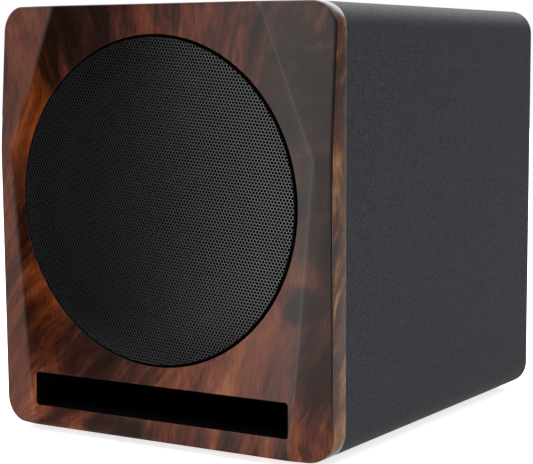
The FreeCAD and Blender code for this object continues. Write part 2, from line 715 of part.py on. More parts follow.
def electronics():
    settle(tube("toroidal_transformer", "12", "40", "depth - 36", "depth"), "toroidal_transformer",
           across="-54", up="mains_z + 26")
    clamp = joined("transformer_clamp", [
        rod("clamp_washer", ("-54", "depth - 39", "mains_z + 26"), "y", "22", "3"),
        rod("clamp_stud", ("-54", "depth - 36", "mains_z + 26"), "y", "3", "36"),
    ])
    settle(clamp, "transformer_clamp")
    board_front = "(depth - 38)"
    settle(block("power_stage", ("-95", board_front, "186"), ("190", "1.6", "112")), "amplifier_board")
    settle(block("line_stage", ("-95", "depth - 20", "192"), ("190", "1.6", "106")), "input_board")
    cans = [
        rod(f"capacitor_{index}", (f"{-60 + 34 * index}", f"{board_front} - 32", "226"), "y", "12.5", "32")
        for index in range(4)
    ]
    settle(group("reservoir_capacitors", cans), "reservoir_capacitors")
    base = block("heatsink_base", ("-90", "depth - 34", "318"), ("183", "34", "6"))
    fins = [
        block(f"heatsink_fin_{index}", (f"{-90 + 12 * index}", "depth - 34", "304"), ("3", "28", "14"))
        for index in range(16)
    ]
    settle(joined("heatsink", [base] + fins), "heatsink")
    devices = [
        block(f"transistor_{index}", (f"{-83 + 48 * index}", "depth - 36.8", "300"), ("16", "2.6", "20"))
        for index in range(4)
    ]
    settle(group("output_transistors", devices), "output_transistors")


def knob(name, across):
    """A control: fluted knob on its shaft, turning in the potentiometer's bushing."""
    near = f"({OUT} + 0.5)"
    far = f"({REAR_REACH})"
    outline = [
        (near, "shaft_radius"), (f"{far} - 3", "shaft_radius"), (f"{far} - 3", "0"), (far, "0"),
        (far, "knob_radius - 1.2"), (f"{far} - 1.2", "knob_radius - 0.3"), (near, "knob_radius"),
    ]
    made = turned(name + "_knob", outline)
    doc.recompute()
    flute = ("0", "knob_radius + 0.7", "1.1")
    around_axis(made, cut_from_front(made, near, "knob_reach - 2", circles=[flute]), 18)
    settle(made, name + "_knob", across=f"{across}", up="control_z")
    shaft = rod(name + "_shaft", ("0", "depth - 10", "0"), "y", "shaft_radius", f"{far} - 3 - (depth - 10)")
    settle(group(name + "_spindle", [shaft]), name + "_spindle", across=f"{across}", up="control_z")


def controls():
    pots = []
    for name, across in CONTROL_X.items():
        knob(name, across)
        outline = [
            ("depth - 12", "0"), ("depth - 10.4", "0"), ("depth - 10.4", "shaft_radius + 0.06"),
            (OUT, "shaft_radius + 0.06"), (OUT, "4.5"), ("depth - 2", "4.5"), ("depth - 2", "8"),
            ("depth - 12", "8"),
        ]
        pot = turned(name + "_pot", outline)
        stand(pot, (f"{across}", "0", "control_z"))
        pots.append(pot)
    settle(group("potentiometers", pots), "potentiometers")
    case = block("phase_case", (f"{PHASE_X} - 7", "depth - 9", "control_z - 3.5"), ("14", "7", "7"))
    settle(case, "phase_switch_case")
    tab = joined("phase_tab", [
        block("phase_stem", (f"{PHASE_X} - 4.6", "depth - 1.6", "control_z - 1.8"), ("4.4", "7.6", "3.6")),
        block("phase_slide", (f"{PHASE_X} - 5.6", "depth - 1.6", "control_z - 2.8"), ("6.4", "1.2", "5.6")),
    ])
    settle(tab, "phase_switch")
    lens = [("depth - 2", "0"), (f"{OUT} + 1.6", "0"), (f"{OUT} + 0.4", "1.5"), ("depth - 2", "1.5")]
    settle(turned("status_led", lens), "status_led", across=f"{LED_X}", up="control_z")


PINS = [(0, 3.6), (-3.2, -2.2), (3.2, -2.2)]


def socket_flange(name, across):
    body = block(name + "_flange", (f"{across} - 13", OUT, "socket_z - 16"), ("26", "2", "32"))
    barrel = rod(name + "_barrel", (f"{across}", "depth - 16", "socket_z"), "y", "11.8", "panel + 16")
    return joined(name + "_solid", [body, barrel])


def sockets():
    """Two balanced inputs with latches and two balanced outputs with pins."""
    mouth = f"({OUT} + 2)"
    inputs = []
    outputs = []
    pins = []
    for name, across in SOCKET_X.items():
        solid = socket_flange(name, across)
        bore = rod(name + "_bore", (f"{across}", f"{mouth} - 16.5", "socket_z"), "y", "9.6", "16.5")
        if name.startswith("output"):
            outputs.append(less(name, solid, [bore]))
            for index, (x, z) in enumerate(PINS):
                root = (f"{across + x}", f"{mouth} - 16.5", f"socket_z + {z}")
                pins.append(rod(f"{name}_pin_{index}", root, "y", "1.2", "12"))
            continue
        insert = rod(name + "_insert", (f"{across}", f"{mouth} - 16.5", "socket_z"), "y", "8", "15")
        groove = less(name + "_groove", bore, [insert])
        tools = [groove]
        for index, (x, z) in enumerate(PINS):
            bottom = (f"{across + x}", f"{mouth} - 11.5", f"socket_z + {z}")
            tools.append(rod(f"{name}_hole_{index}", bottom, "y", "1.4", "11.5"))
        slot_corner = (f"{across} - 3.8", f"{OUT} - 1", "socket_z + 8.9")
        tools.append(block(name + "_slot", slot_corner, ("7.6", "4", "5.5")))
        inputs.append(less(name, solid, tools))
        tab_corner = (f"{across} - 3.4", f"{OUT} + 0.3", "socket_z + 10.9")
        settle(block(name + "_tab", tab_corner, ("6.8", "3.3", "3.1")), name + "_latch")
    settle(group("input_sockets", inputs), "input_sockets")
    settle(group("output_sockets", outputs), "output_sockets")
    settle(group("output_pins", pins), "output_pins")


def mains_inlet():
    """Appliance inlet with a fuse drawer below its three blades."""
    flange = block("inlet_flange", ("inlet_x - 18", OUT, "mains_z - 23"), ("36", "2", "39"))
    inside = f"{OUT} - (depth - 20)"
    body = block("inlet_body", ("inlet_x - 14.6", "depth - 20", "mains_z - 19.6"), ("29.2", inside, "32.2"))
    socket = block("inlet_recess", ("inlet_x - 12.3", f"{OUT} - 15", "mains_z - 6"), ("24.6", "17", "17"))
    drawer_bay = block("drawer_bay", ("inlet_x - 12", f"{OUT} - 18", "mains_z - 18"), ("24", "20", "9.6"))
    inlet = less("mains_inlet", joined("inlet_solid", [flange, body]), [socket, drawer_bay])
    settle(inlet, "mains_inlet")
    blades = [
        block(f"blade_{index}", (f"inlet_x - 1 + {x}", f"{OUT} - 15", f"mains_z + {z}"), ("2", "12", "4"))
        for index, (x, z) in enumerate(((-7, -1), (0, 4), (7, -1)))
    ]
    settle(group("inlet_blades", blades), "inlet_blades")
    tray = block(
        "drawer_tray", ("inlet_x - 11.6", f"{OUT} - 17.6", "mains_z - 17.6"), ("23.2", "19.6", "8.8"))
    fuse_bay = block("fuse_bay", ("inlet_x - 10.6", f"{OUT} - 13", "mains_z - 16.4"), ("21.2", "8", "7.6"))
    lip = block("drawer_lip", ("inlet_x - 11.6", f"{OUT} + 2", "mains_z - 17.6"), ("23.2", "1.6", "8.8"))
    drawer = less("fuse_drawer", joined("drawer_solid", [tray, lip]), [fuse_bay])
    settle(drawer, "fuse_drawer")


def power_switch():
    """Rocker switch: a rocker with a sloped face on a cross pivot in a snap-in case."""
    bezel = block("switch_bezel", ("switch_x - 13", OUT, "mains_z - 16"), ("26", "2", "32"))
    inside = f"{OUT} - (depth - 18)"
    case = block("switch_body", ("switch_x - 10.8", "depth - 18", "mains_z - 13.8"), ("21.6", inside, "27.6"))
    well = block("switch_well", ("switch_x - 9", f"{OUT} - 12", "mains_z - 12.4"), ("18", "14", "24.8"))
    settle(less("switch_case", joined("switch_solid", [bezel, case]), [well]), "switch_case")
    made = new_body("power_rocker")
    page = new_sketch(made, "YZ_Plane", "-8.6")
    draw(page, [("-4", "-10"), ("7", "-10.9"), ("4.6", "0"), ("7", "10.9"), ("-4", "10"), ("-6", "0")])
    pad = made.newObject("PartDesign::Pad", "rocker_pad")
    pad.Profile = page
    pad.Length = 17.2
    settle(made, "power_rocker", across="switch_x", up="mains_z", back=f"{OUT} - 2.2")
    made.Placement.Rotation = FreeCAD.Rotation(FreeCAD.Vector(1, 0, 0), value("rocker_tilt"))


front_fascia()
side_panel("left_panel", -1)
side_panel("right_panel", 1)
top_and_bottom()
vinyl_wrap()
inner_baffle()
back_panel()
port_and_brace()
acoustic_wadding()
feet()
grille()
basket()
diaphragm()
spider()
motor()
woofer_wiring()
amp_plate()
amp_housing()
electronics()
controls()
sockets()
mains_inlet()
power_switch()
doc.recompute()

failed = [item.Label for item in doc.Objects if "Invalid" in item.State or "Error" in item.State]
failed += [item.Label for item in subparts if item.Shape.isNull() or not item.Shape.isValid()]
if failed:
    raise RuntimeError("these objects did not build: " + ", ".join(failed))

os.makedirs("parts", exist_ok=True)
for item in subparts:
    item.Shape.exportStep(f"parts/{item.Label}.step")
print(len(subparts), "sub-parts written")
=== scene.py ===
import json
import math
from itertools import product

import bmesh
import bpy
from mathutils import Matrix, Vector, geometry


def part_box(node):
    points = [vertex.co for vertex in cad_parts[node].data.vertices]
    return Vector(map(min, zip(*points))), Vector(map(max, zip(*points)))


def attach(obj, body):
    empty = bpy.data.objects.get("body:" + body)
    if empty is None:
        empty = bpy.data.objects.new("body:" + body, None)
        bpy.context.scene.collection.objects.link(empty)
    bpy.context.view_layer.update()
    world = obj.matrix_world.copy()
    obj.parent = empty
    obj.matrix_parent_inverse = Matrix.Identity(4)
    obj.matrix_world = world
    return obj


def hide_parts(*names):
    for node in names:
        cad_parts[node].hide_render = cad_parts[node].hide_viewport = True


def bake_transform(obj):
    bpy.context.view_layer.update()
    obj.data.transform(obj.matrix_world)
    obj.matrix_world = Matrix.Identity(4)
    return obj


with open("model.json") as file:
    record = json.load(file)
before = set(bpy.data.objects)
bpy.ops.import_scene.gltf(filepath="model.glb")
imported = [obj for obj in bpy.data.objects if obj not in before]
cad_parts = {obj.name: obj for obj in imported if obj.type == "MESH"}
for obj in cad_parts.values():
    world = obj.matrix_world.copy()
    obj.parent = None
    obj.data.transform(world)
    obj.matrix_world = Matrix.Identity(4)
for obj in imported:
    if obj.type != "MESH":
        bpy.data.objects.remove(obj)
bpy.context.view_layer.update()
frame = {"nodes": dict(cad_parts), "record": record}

MM = 0.001

# ---- places taken from the frame

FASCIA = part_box("front_fascia")
FRONT_Y = FASCIA[0].y
SEAM_Y = FASCIA[1].y
HALF_WIDTH = FASCIA[1].x
LOW_Z = FASCIA[0].z
HIGH_Z = FASCIA[1].z
CORNER = 22 * MM
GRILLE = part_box("grille")
GRILLE_FRONT = GRILLE[0].y
GRILLE_RADIUS = GRILLE[1].x
OPENING_Z = (GRILLE[0].z + GRILLE[1].z) / 2
OPENING_RADIUS = GRILLE_RADIUS + 2 * MM
PORT_HALF = 130.75 * MM
PORT_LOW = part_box("port_side_spacers")[0].z
PORT_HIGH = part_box("port_shelf")[0].z
PORT_ROUND = 3 * MM
# the facets' creases on the front plane, above the fascia's foot
CREASE_TOP_X = 104 * MM
CREASE_NODE = (154.5 * MM, 243.7 * MM)
CREASE_LOW_X = 132.5 * MM
EDGE_NODE = (HALF_WIDTH, 2.8 * MM, 245.4 * MM)


# ---- material graphs

class Graph:
    """Procedural nodes in the tree of a material or a world."""

    def __init__(self, owner):
        owner.use_nodes = True
        self.tree = owner.node_tree
        self.spaces = self.tree.nodes.new("ShaderNodeTexCoord").outputs
        self.object_space = self.spaces["Object"]

    def node(self, kind, settings=None, **inputs):
        made = self.tree.nodes.new(kind)
        for name, level in (settings or {}).items():
            setattr(made, name, level)
        for name, level in inputs.items():
            self.feed(made.inputs[name.replace("_", " ")], level)
        return made

    def feed(self, socket, level):
        if isinstance(level, bpy.types.NodeSocket):
            self.tree.links.new(level, socket)
        elif socket.type == "RGBA":
            socket.default_value = (*level[:3], 1.0)
        else:
            socket.default_value = level

    def stretched(self, scale, turn=(0, 0, 0)):
        made = self.node("ShaderNodeMapping", Vector=self.object_space, Scale=scale, Rotation=turn)
        return made.outputs[0]

    def noise(self, scale, detail=4.0, rough=0.5, twist=0.0, at=None):
        return self.node("ShaderNodeTexNoise", Vector=at or self.object_space, Scale=scale, Detail=detail,
                         Roughness=rough, Distortion=twist).outputs["Fac"]

    def sum(self, kind, first, second=0.0, third=0.0):
        made = self.node("ShaderNodeMath", {"operation": kind})
        for socket, level in zip(made.inputs, (first, second, third)):
            self.feed(socket, level)
        return made.outputs[0]

    def plus(self, first, second):
        return self.sum("ADD", first, second)

    def less(self, first, second):
        return self.sum("SUBTRACT", first, second)

    def times(self, first, second):
        return self.sum("MULTIPLY", first, second)

    def mad(self, first, second, third):
        """first x second + third"""
        return self.sum("MULTIPLY_ADD", first, second, third)

    def span(self, level, low, high, out_low=0.0, out_high=1.0, smooth=False):
        """Carry a level from one range to another, clamped."""
        settings = {"interpolation_type": "SMOOTHSTEP"} if smooth else {}
        return self.node("ShaderNodeMapRange", settings, Value=level, From_Min=low, From_Max=high,
                         To_Min=out_low, To_Max=out_high).outputs["Result"]

    def ramp(self, level, stops):
        made = self.node("ShaderNodeValToRGB", Fac=level)
        band = made.color_ramp
        while len(band.elements) < len(stops):
            band.elements.new(0.5)
        for element, (place, colour) in zip(band.elements, stops):
            element.position = place
            element.color = (*colour, 1.0)
        return made.outputs["Color"]

    def blend(self, share, first, second):
        made = self.node("ShaderNodeMix", {"data_type": "RGBA"})
        for socket, level in zip((made.inputs[0], made.inputs[6], made.inputs[7]), (share, first, second)):
            self.feed(socket, level)
        return made.outputs[2]


class Look(Graph):
    """A material round one Principled shader."""

    def __init__(self, name, **sockets):
        self.made = bpy.data.materials.new(name)
        super().__init__(self.made)
        self.shader = self.tree.nodes["Principled BSDF"]
        for socket, level in sockets.items():
            self.shader.inputs[socket.replace("_", " ")].default_value = level

    def colour(self, level):
        self.feed(self.shader.inputs["Base Color"], level)

    def rough(self, level):
        self.feed(self.shader.inputs["Roughness"], level)

    def relief(self, height, depth, strength=1.0):
        bump = self.node("ShaderNodeBump", Height=height, Distance=depth, Strength=strength)
        self.feed(self.shader.inputs["Normal"], bump.outputs["Normal"])


def parts_of(graph, vector):
    return graph.node("ShaderNodeSeparateXYZ", Vector=vector).outputs[:3]


def blob(graph, x, z, at, reach):
    """A soft ellipse on the fascia, 1 at its middle and 0 past its reach."""
    off_x = graph.sum("DIVIDE", graph.less(x, at[0]), reach[0])
    off_z = graph.sum("DIVIDE", graph.less(z, at[1]), reach[1])
    square = graph.mad(off_x, off_x, graph.times(off_z, off_z))
    return graph.span(square, 0.0, 1.0, 1.0, 0.0, smooth=True)


# what the veneer's figure is like: (middle, reach) in x and z, in metres
BURL = ((-0.075, 0.335), (0.085, 0.06))
RIPPLES = (((0.150, 0.022), (0.055, 0.040)), ((0.148, 0.140), (0.040, 0.040)))
SMOKY = ((0.152, 0.285), (0.060, 0.175))
AMBER_GLOW = ((-0.118, 0.215), (0.040, 0.17))
# patches of lighter and darker wood: middle, reach, change of tone, and whether the facets are left out
PATCHES = (
    ((-0.080, 0.345), (0.070, 0.062), -0.48, True), ((0.140, 0.315), (0.070, 0.125), -0.30, False),
    ((0.143, 0.134), (0.026, 0.020), -0.42, False), ((0.170, 0.165), (0.016, 0.060), -0.36, False),
    ((0.158, 0.075), (0.030, 0.060), -0.36, False), ((0.166, 0.040), (0.012, 0.020), 0.22, False),
    ((-0.125, 0.107), (0.030, 0.040), -0.22, True), ((-0.060, 0.078), (0.060, 0.050), -0.30, True),
    ((-0.172, 0.33), (0.012, 0.050), -0.25, False), ((0.070, 0.345), (0.060, 0.045), 0.10, False),
    ((0.090, 0.100), (0.065, 0.070), 0.16, False), ((0.134, 0.190), (0.020, 0.080), 0.08, True),
    ((0.155, 0.200), (0.034, 0.045), -0.22, False), ((-0.150, 0.035), (0.040, 0.045), 0.22, False),
    ((-0.142, 0.200), (0.025, 0.060), -0.30, True), ((-0.040, 0.013), (0.050, 0.014), -0.30, False),
)
# weights of the figure's broad bands, streaks, threads, clouds and flecks
FRONT_WEIGHTS = (0.95, 0.85, 0.50, 0.90, 0.45)
EDGE_WEIGHTS = (1.15, 0.95, 0.40, 1.00, 0.35)
ROSEWOOD = [
    (0.00, (0.0060, 0.0022, 0.0015)), (0.28, (0.0150, 0.0043, 0.0026)), (0.48, (0.036, 0.0095, 0.0050)),
    (0.66, (0.080, 0.0190, 0.0088)), (0.84, (0.125, 0.033, 0.0150)), (1.00, (0.20, 0.062, 0.024)),
]
SMOKED_WOOD = [(0.0, (0.008, 0.005, 0.004)), (0.5, (0.017, 0.0095, 0.0065)), (1.0, (0.080, 0.041, 0.024))]
AMBER_WOOD = [(0.0, (0.010, 0.0022, 0.0008)), (0.45, (0.075, 0.0150, 0.0022)), (1.0, (0.19, 0.042, 0.006))]
EDGE_WOOD = [
    (0.00, (0.010, 0.006, 0.005)), (0.35, (0.022, 0.011, 0.008)), (0.56, (0.058, 0.022, 0.010)),
    (0.76, (0.150, 0.064, 0.022)), (1.00, (0.38, 0.19, 0.07)),
]
DEEP_PORE = (0.004, 0.0025, 0.002)


def grain(g, x, y, z, plane):
    """The five layers of the figure, of which the first three follow the leaning, rippled grain."""
    below = g.sum("MAXIMUM", g.less(0.30, z), 0.0)
    lean = g.span(z, LOW_Z, 0.34, 0.34, 0.05, smooth=True)
    lean = g.plus(g.span(x, -0.16, 0.04, 0.24, 0.0, smooth=True), lean)
    across = g.mad(below, lean, g.times(x, g.span(z, 0.30, 0.38, 1.0, 0.76)))
    across = g.mad(y, 0.7, across)
    burl = g.times(blob(g, x, z, *BURL), plane)
    for at, reach in RIPPLES:
        burl = g.mad(blob(g, x, z, at, reach), 1.6, burl)
    warp = g.less(g.noise(8.0, 2.0), 0.5)
    ripple = g.less(g.noise(34.0, 2.0), 0.5)
    across = g.mad(warp, 0.045, across)
    across = g.mad(ripple, g.mad(burl, 0.014, 0.0030), across)
    flow = g.node("ShaderNodeCombineXYZ", X=across, Y=g.times(y, 0.3), Z=g.times(z, 0.14)).outputs[0]
    broad = g.noise(62.0, 2.0, at=flow)
    streak = g.noise(150.0, 3.0, 0.55, at=flow)
    thread = g.noise(560.0, 3.0, 0.6, at=flow)
    cloud = g.noise(13.0, 4.0, 0.6, 0.5)
    fleck = g.noise(95.0, 4.0, 0.7, at=g.stretched((1.0, 1.0, 0.45)))
    return broad, streak, thread, cloud, fleck


def front_wood(g, x, z, plane, left_facet, tone):
    """The front's colour from its tone: calm at the right, smoky at the upper right, amber at the left."""
    smoky = blob(g, x, z, *SMOKY)
    quiet = g.times(g.span(x, -0.02, 0.06, 0.0, 0.42), g.times(g.span(z, 0.04, 0.07), g.span(z, 0.30, 0.25)))
    quiet = g.sum("MINIMUM", g.mad(smoky, 1.0, quiet), 0.85)
    tone = g.mad(g.less(0.60, tone), quiet, tone)
    smudge = g.less(g.noise(30.0, 3.0, 0.6, 0.8), 0.5)
    tone = g.mad(smudge, g.times(smoky, 1.7), tone)
    # Painted dark reflection: a thin darker line along the right outer edge, stronger higher up.
    painted_edge_reflection = g.span(x, HALF_WIDTH - 2.4 * MM, HALF_WIDTH - 1.0 * MM)
    tone = g.less(tone, g.times(painted_edge_reflection, g.span(z, 0.10, 0.20, 0.15, 0.55)))
    for at, reach, gain, flat_only in PATCHES:
        spot = blob(g, x, z, at, reach)
        if flat_only:
            spot = g.times(spot, plane)
        tone = g.mad(spot, gain, tone)
    calm = g.mad(g.less(tone, 0.60), 0.60, 0.64)
    tone = g.mad(g.less(calm, tone), left_facet, tone)
    wood = g.ramp(g.span(tone, 0.0, 1.0), ROSEWOOD)
    wood = g.blend(g.times(smoky, 0.75), wood, g.ramp(g.span(tone, 0.0, 1.0), SMOKED_WOOD))
    glow = g.times(blob(g, x, z, *AMBER_GLOW), plane)
    return g.blend(glow, wood, g.ramp(g.span(tone, 0.1, 1.0), AMBER_WOOD))


def veneer(name, edge=False):
    """Dark figured rosewood under gloss lacquer: leaning grain, ink-dark streaks, burl and flame."""
    g = Look(name, Roughness=0.5, Coat_Weight=1.0, Coat_Roughness=0.045, Specular_IOR_Level=0.0)
    x, y, z = parts_of(g, g.object_space)
    facet = g.span(y, FRONT_Y + 0.3 * MM, FRONT_Y + 0.9 * MM, smooth=True)
    plane = g.less(1.0, facet)
    layers = grain(g, x, y, z, plane)
    tone = 0.62
    for layer, weight in zip(layers, EDGE_WEIGHTS if edge else FRONT_WEIGHTS):
        tone = g.mad(g.less(layer, 0.5), weight, tone)
    if edge:
        by_height = g.plus(g.span(z, 0.245, 0.290, 0.10, -0.26, smooth=True),
                           g.span(z, 0.06, 0.16, -0.14, 0.0, smooth=True))
        wood = g.ramp(g.span(g.plus(tone, by_height), 0.0, 1.1), EDGE_WOOD)
    else:
        left_facet = g.times(facet, g.span(x, -0.02, 0.02, 1.0, 0.0))
        wood = front_wood(g, x, z, plane, left_facet, tone)
    pores = g.span(g.noise(900.0, 2.0, 0.5, at=g.stretched((1.0, 1.0, 0.06))), 0.56, 0.66, 0.0,
                   0.10 if edge else 0.45, smooth=True)
    g.colour(g.blend(pores, wood, DEEP_PORE))
    g.rough(g.span(layers[2], 0.3, 0.7, 0.60, 0.42))
    return g.made


BARE_BOARD = [(0.3, (0.26, 0.165, 0.09)), (0.7, (0.46, 0.32, 0.19))]
PORT_PAINT = [(0.3, (0.0008,) * 3), (0.7, (0.0018,) * 3)]
BOARD_COVER = [(0.3, (0.012, 0.013, 0.016)), (0.7, (0.028, 0.029, 0.034))]


def black_lacquer():
    g = Look("port_black", Roughness=0.85, Specular_IOR_Level=0.05)
    g.colour(g.ramp(g.noise(900.0, 2.0), PORT_PAINT))
    return g.made


def shade(tone, gain):
    return tuple(level * gain for level in tone)


def powder_coat(name, tone, grain=1400.0, depth=0.05 * MM, rough=0.42, ior=1.5):
    """Fine orange-peel paint on metal."""
    g = Look(name, IOR=ior)
    speck = g.noise(grain, 3.0, 0.6)
    g.colour(g.ramp(speck, [(0.35, shade(tone, 0.75)), (0.65, shade(tone, 1.3))]))
    g.rough(g.span(speck, 0.3, 0.7, rough * 1.15, rough * 0.85))
    g.relief(speck, depth, 0.6)
    return g.made


def leathered_vinyl():
    """Slate-black vinyl with a fine irregular pebble."""
    g = Look("textured_vinyl", Specular_IOR_Level=0.45)
    pebble = g.node("ShaderNodeTexVoronoi", {"feature": "SMOOTH_F1"}, Vector=g.object_space,
                    Scale=760.0).outputs["Distance"]
    fine = g.noise(1500.0, 2.0, 0.6)
    patch = g.noise(320.0, 3.0, 0.6)
    height = g.mad(fine, 0.35, pebble)
    height = g.mad(patch, 0.5, height)
    g.colour(g.ramp(g.span(height, 0.35, 1.15), [
        (0.0, (0.045, 0.046, 0.059)), (0.5, (0.011, 0.0115, 0.017)), (1.0, (0.002, 0.003, 0.005)),
    ]))
    g.rough(g.span(patch, 0.3, 0.7, 0.62, 0.48))
    g.relief(height, 0.16 * MM, 0.55)
    return g.made


def moulded(name, tone, rough=0.45, grain=1100.0, depth=0.03 * MM, gloss=0.5):
    """Moulded or rubbery plastic with a fine spark-eroded grain."""
    g = Look(name, Specular_IOR_Level=gloss)
    speck = g.noise(grain, 3.0, 0.55)
    g.colour(g.ramp(speck, [(0.3, shade(tone, 0.8)), (0.7, shade(tone, 1.2))]))
    g.rough(g.span(speck, 0.3, 0.7, rough - 0.06, rough + 0.08))
    g.relief(speck, depth, 0.5)
    return g.made


def bare_metal(name, tone, rough, brushed=(1.0, 1.0, 1.0)):
    """Plated or machined metal with faint directional scratches."""
    g = Look(name, Metallic=1.0)
    scratch = g.noise(900.0, 4.0, 0.65, at=g.stretched(brushed))
    stain = g.noise(40.0, 3.0)
    g.colour(g.blend(g.span(stain, 0.35, 0.65, 0.0, 0.35), tone, shade(tone, 0.72)))
    g.rough(g.span(scratch, 0.3, 0.7, rough - 0.07, rough + 0.12))
    g.relief(scratch, 0.02 * MM, 0.4)
    return g.made


def fibreboard():
    g = Look("fibreboard", Roughness=0.85)
    fibre = g.noise(700.0, 5.0, 0.7)
    g.colour(g.ramp(fibre, BARE_BOARD))
    g.relief(fibre, 0.1 * MM, 0.5)
    return g.made


def covered_board(name, rear, dark_inside=False):
    """Board whose rear edge wears the vinyl; the port's walls are painted black."""
    g = Look(name, Specular_IOR_Level=0.0 if dark_inside else 0.3)
    fibre = g.noise(700.0, 5.0, 0.7)
    bare = g.ramp(fibre, PORT_PAINT if dark_inside else BARE_BOARD)
    cover = g.ramp(fibre, BOARD_COVER)
    edge = g.span(parts_of(g, g.object_space)[1], rear - 1.0 * MM, rear - 0.6 * MM)
    g.colour(g.blend(edge, bare, cover))
    g.rough(g.span(edge, 0.0, 1.0, 0.85, 0.55))
    g.relief(fibre, 0.12 * MM, 0.5)
    return g.made


WAVE_SPAN = 6.3  # a wave texture's scale for one wave in each unit


def woven(name, tone, pitch=900.0):
    g = Look(name, Roughness=0.9)
    waves = [
        g.node("ShaderNodeTexWave", {"bands_direction": axis}, Vector=g.object_space,
               Scale=pitch / WAVE_SPAN, Distortion=0.4).outputs["Fac"]
        for axis in ("X", "Z")
    ]
    weave = g.times(waves[0], waves[1])
    g.colour(g.ramp(weave, [(0.1, shade(tone, 0.55)), (0.7, tone)]))
    g.relief(weave, 0.15 * MM, 0.7)
    return g.made


def paper_pulp():
    g = Look("coated_pulp", Roughness=0.8, Specular_IOR_Level=0.04)
    fibre = g.noise(420.0, 6.0, 0.72, 0.6)
    g.colour(g.ramp(fibre, [(0.3, (0.0020, 0.0020, 0.0022)), (0.7, (0.0065, 0.0065, 0.0070))]))
    g.relief(fibre, 0.12 * MM, 0.6)
    return g.made


def solder_mask():
    g = Look("solder_mask", Roughness=0.35, Coat_Weight=0.3)
    tracks = g.node("ShaderNodeTexBrick", Vector=g.stretched((1, 1, 1), (math.pi / 2, 0, 0)), Scale=60.0,
                    Mortar_Size=0.05)
    tracks.inputs["Color1"].default_value = (0.012, 0.085, 0.035, 1)
    tracks.inputs["Color2"].default_value = (0.016, 0.11, 0.045, 1)
    tracks.inputs["Mortar"].default_value = (0.03, 0.19, 0.075, 1)
    g.colour(tracks.outputs["Color"])
    g.relief(tracks.outputs["Fac"], 0.05 * MM, 0.5)
    return g.made


def wound(name, tone, pitch, rough=0.4, metal=0.0):
    """Parallel turns of wire or tape."""
    g = Look(name, Metallic=metal)
    turns = g.node("ShaderNodeTexWave", {"bands_direction": "Y"}, Vector=g.object_space,
                   Scale=1 / (pitch * WAVE_SPAN), Distortion=0.5, Detail=1.0).outputs["Fac"]
    g.colour(g.ramp(turns, [(0.0, shade(tone, 0.4)), (0.6, tone)]))
    g.rough(g.span(turns, 0.0, 1.0, rough + 0.15, rough))
    g.relief(turns, 0.2 * MM, 0.8)
    return g.made


def clear_lens():
    g = Look("led_lens", Roughness=0.08, IOR=1.49, Transmission_Weight=0.6)
    g.colour(g.ramp(g.noise(300.0), [(0.3, (0.03, 0.20, 0.55)), (0.7, (0.06, 0.32, 0.75))]))
    return g.made


VENEER = veneer("rosewood_veneer")
# A near-black matte look that paints shade: the parts behind the grille and the grille's rolled rim wear it
# instead of their own finish.
SHADE_BLACK = moulded("painted_shade_black", (0.0022, 0.0022, 0.0024), rough=0.85, gloss=0.02)
INK = moulded("white_print", (0.55, 0.56, 0.56), rough=0.5, grain=2400.0, depth=0.01 * MM)
VENEER_EDGE = veneer("rosewood_edge", edge=True)
PORT_BLACK = black_lacquer()
VINYL = leathered_vinyl()
THIN_PAINT = 0.006 * MM
# Painted highlight: the hole walls take a lighter copy of the grille's black paint, so that they catch the
# light.
WALL_PAINTED_HIGHLIGHT = powder_coat("hole_wall_painted_highlight", (0.046, 0.046, 0.052), depth=THIN_PAINT, rough=0.3, ior=1.6)
GRILLE_PAINT = powder_coat("grille_powder_coat", (0.006, 0.006, 0.0065), depth=THIN_PAINT, rough=0.085,
                           ior=1.85)
SLOT_LOOKS = {
    "rosewood_veneer": VENEER,
    "vinyl_wrap": VINYL,
    "mdf": fibreboard(),
    "grille_steel": GRILLE_PAINT,
    "black_plastic": moulded("black_moulding", (0.012, 0.012, 0.013), rough=0.30),
    "basket_metal": powder_coat("basket_coat", (0.030, 0.030, 0.033), 900.0, 0.12 * MM, 0.5),
    "surround_rubber": moulded("surround_rubber", (0.0035, 0.0035, 0.0038), rough=0.70, gloss=0.06),
    "cone_paper": paper_pulp(),
    "former_aluminium": bare_metal("former_aluminium", (0.78, 0.79, 0.80), 0.25),
    "winding_copper": wound("copper_turns", (0.80, 0.36, 0.16), 0.0005, rough=0.25, metal=1.0),
    "spider_cloth": woven("spider_cloth", (0.55, 0.36, 0.14)),
    "zinc_steel": bare_metal("zinc_plate", (0.60, 0.61, 0.63), 0.3),
    "ferrite": powder_coat("ground_ferrite", (0.050, 0.050, 0.054), grain=700.0, rough=0.6),
    "screw_steel": bare_metal("black_oxide", (0.055, 0.055, 0.06), 0.38),
    "brass_contact": bare_metal("plated_contact", (0.83, 0.66, 0.34), 0.22),
    "plate_paint": powder_coat("panel_powder_coat", (0.034, 0.034, 0.037), 1100.0, 0.14 * MM, 0.5),
    "housing_steel": bare_metal("galvanised_sheet", (0.52, 0.53, 0.55), 0.42),
    "circuit_board": solder_mask(),
    "transformer_tape": wound("transformer_tape", (0.75, 0.56, 0.10), 0.004),
    "capacitor_sleeve": moulded("capacitor_sleeve", (0.02, 0.03, 0.07), rough=0.25),
    "heatsink_aluminium": bare_metal("extruded_aluminium", (0.70, 0.71, 0.73), 0.32, (1.0, 0.05, 1.0)),
    "foot_rubber": moulded("foot_rubber", (0.016, 0.016, 0.016), rough=0.7),
    "wadding": woven("polyester_wadding", (0.70, 0.69, 0.65), 300.0),
    "led_lens": clear_lens(),
    "wire_red": moulded("red_insulation", (0.42, 0.02, 0.015), rough=0.35),
    "wire_black": moulded("black_insulation", (0.015, 0.015, 0.016), rough=0.35),
    "foam_gasket": moulded("foam_gasket", (0.004, 0.004, 0.0044), 0.9, 1500.0, 0.2 * MM, 0.02),
}


# ---- mesh helpers

def linked(name, data):
    made = bpy.data.objects.new(name, data)
    bpy.context.scene.collection.objects.link(made)
    return made


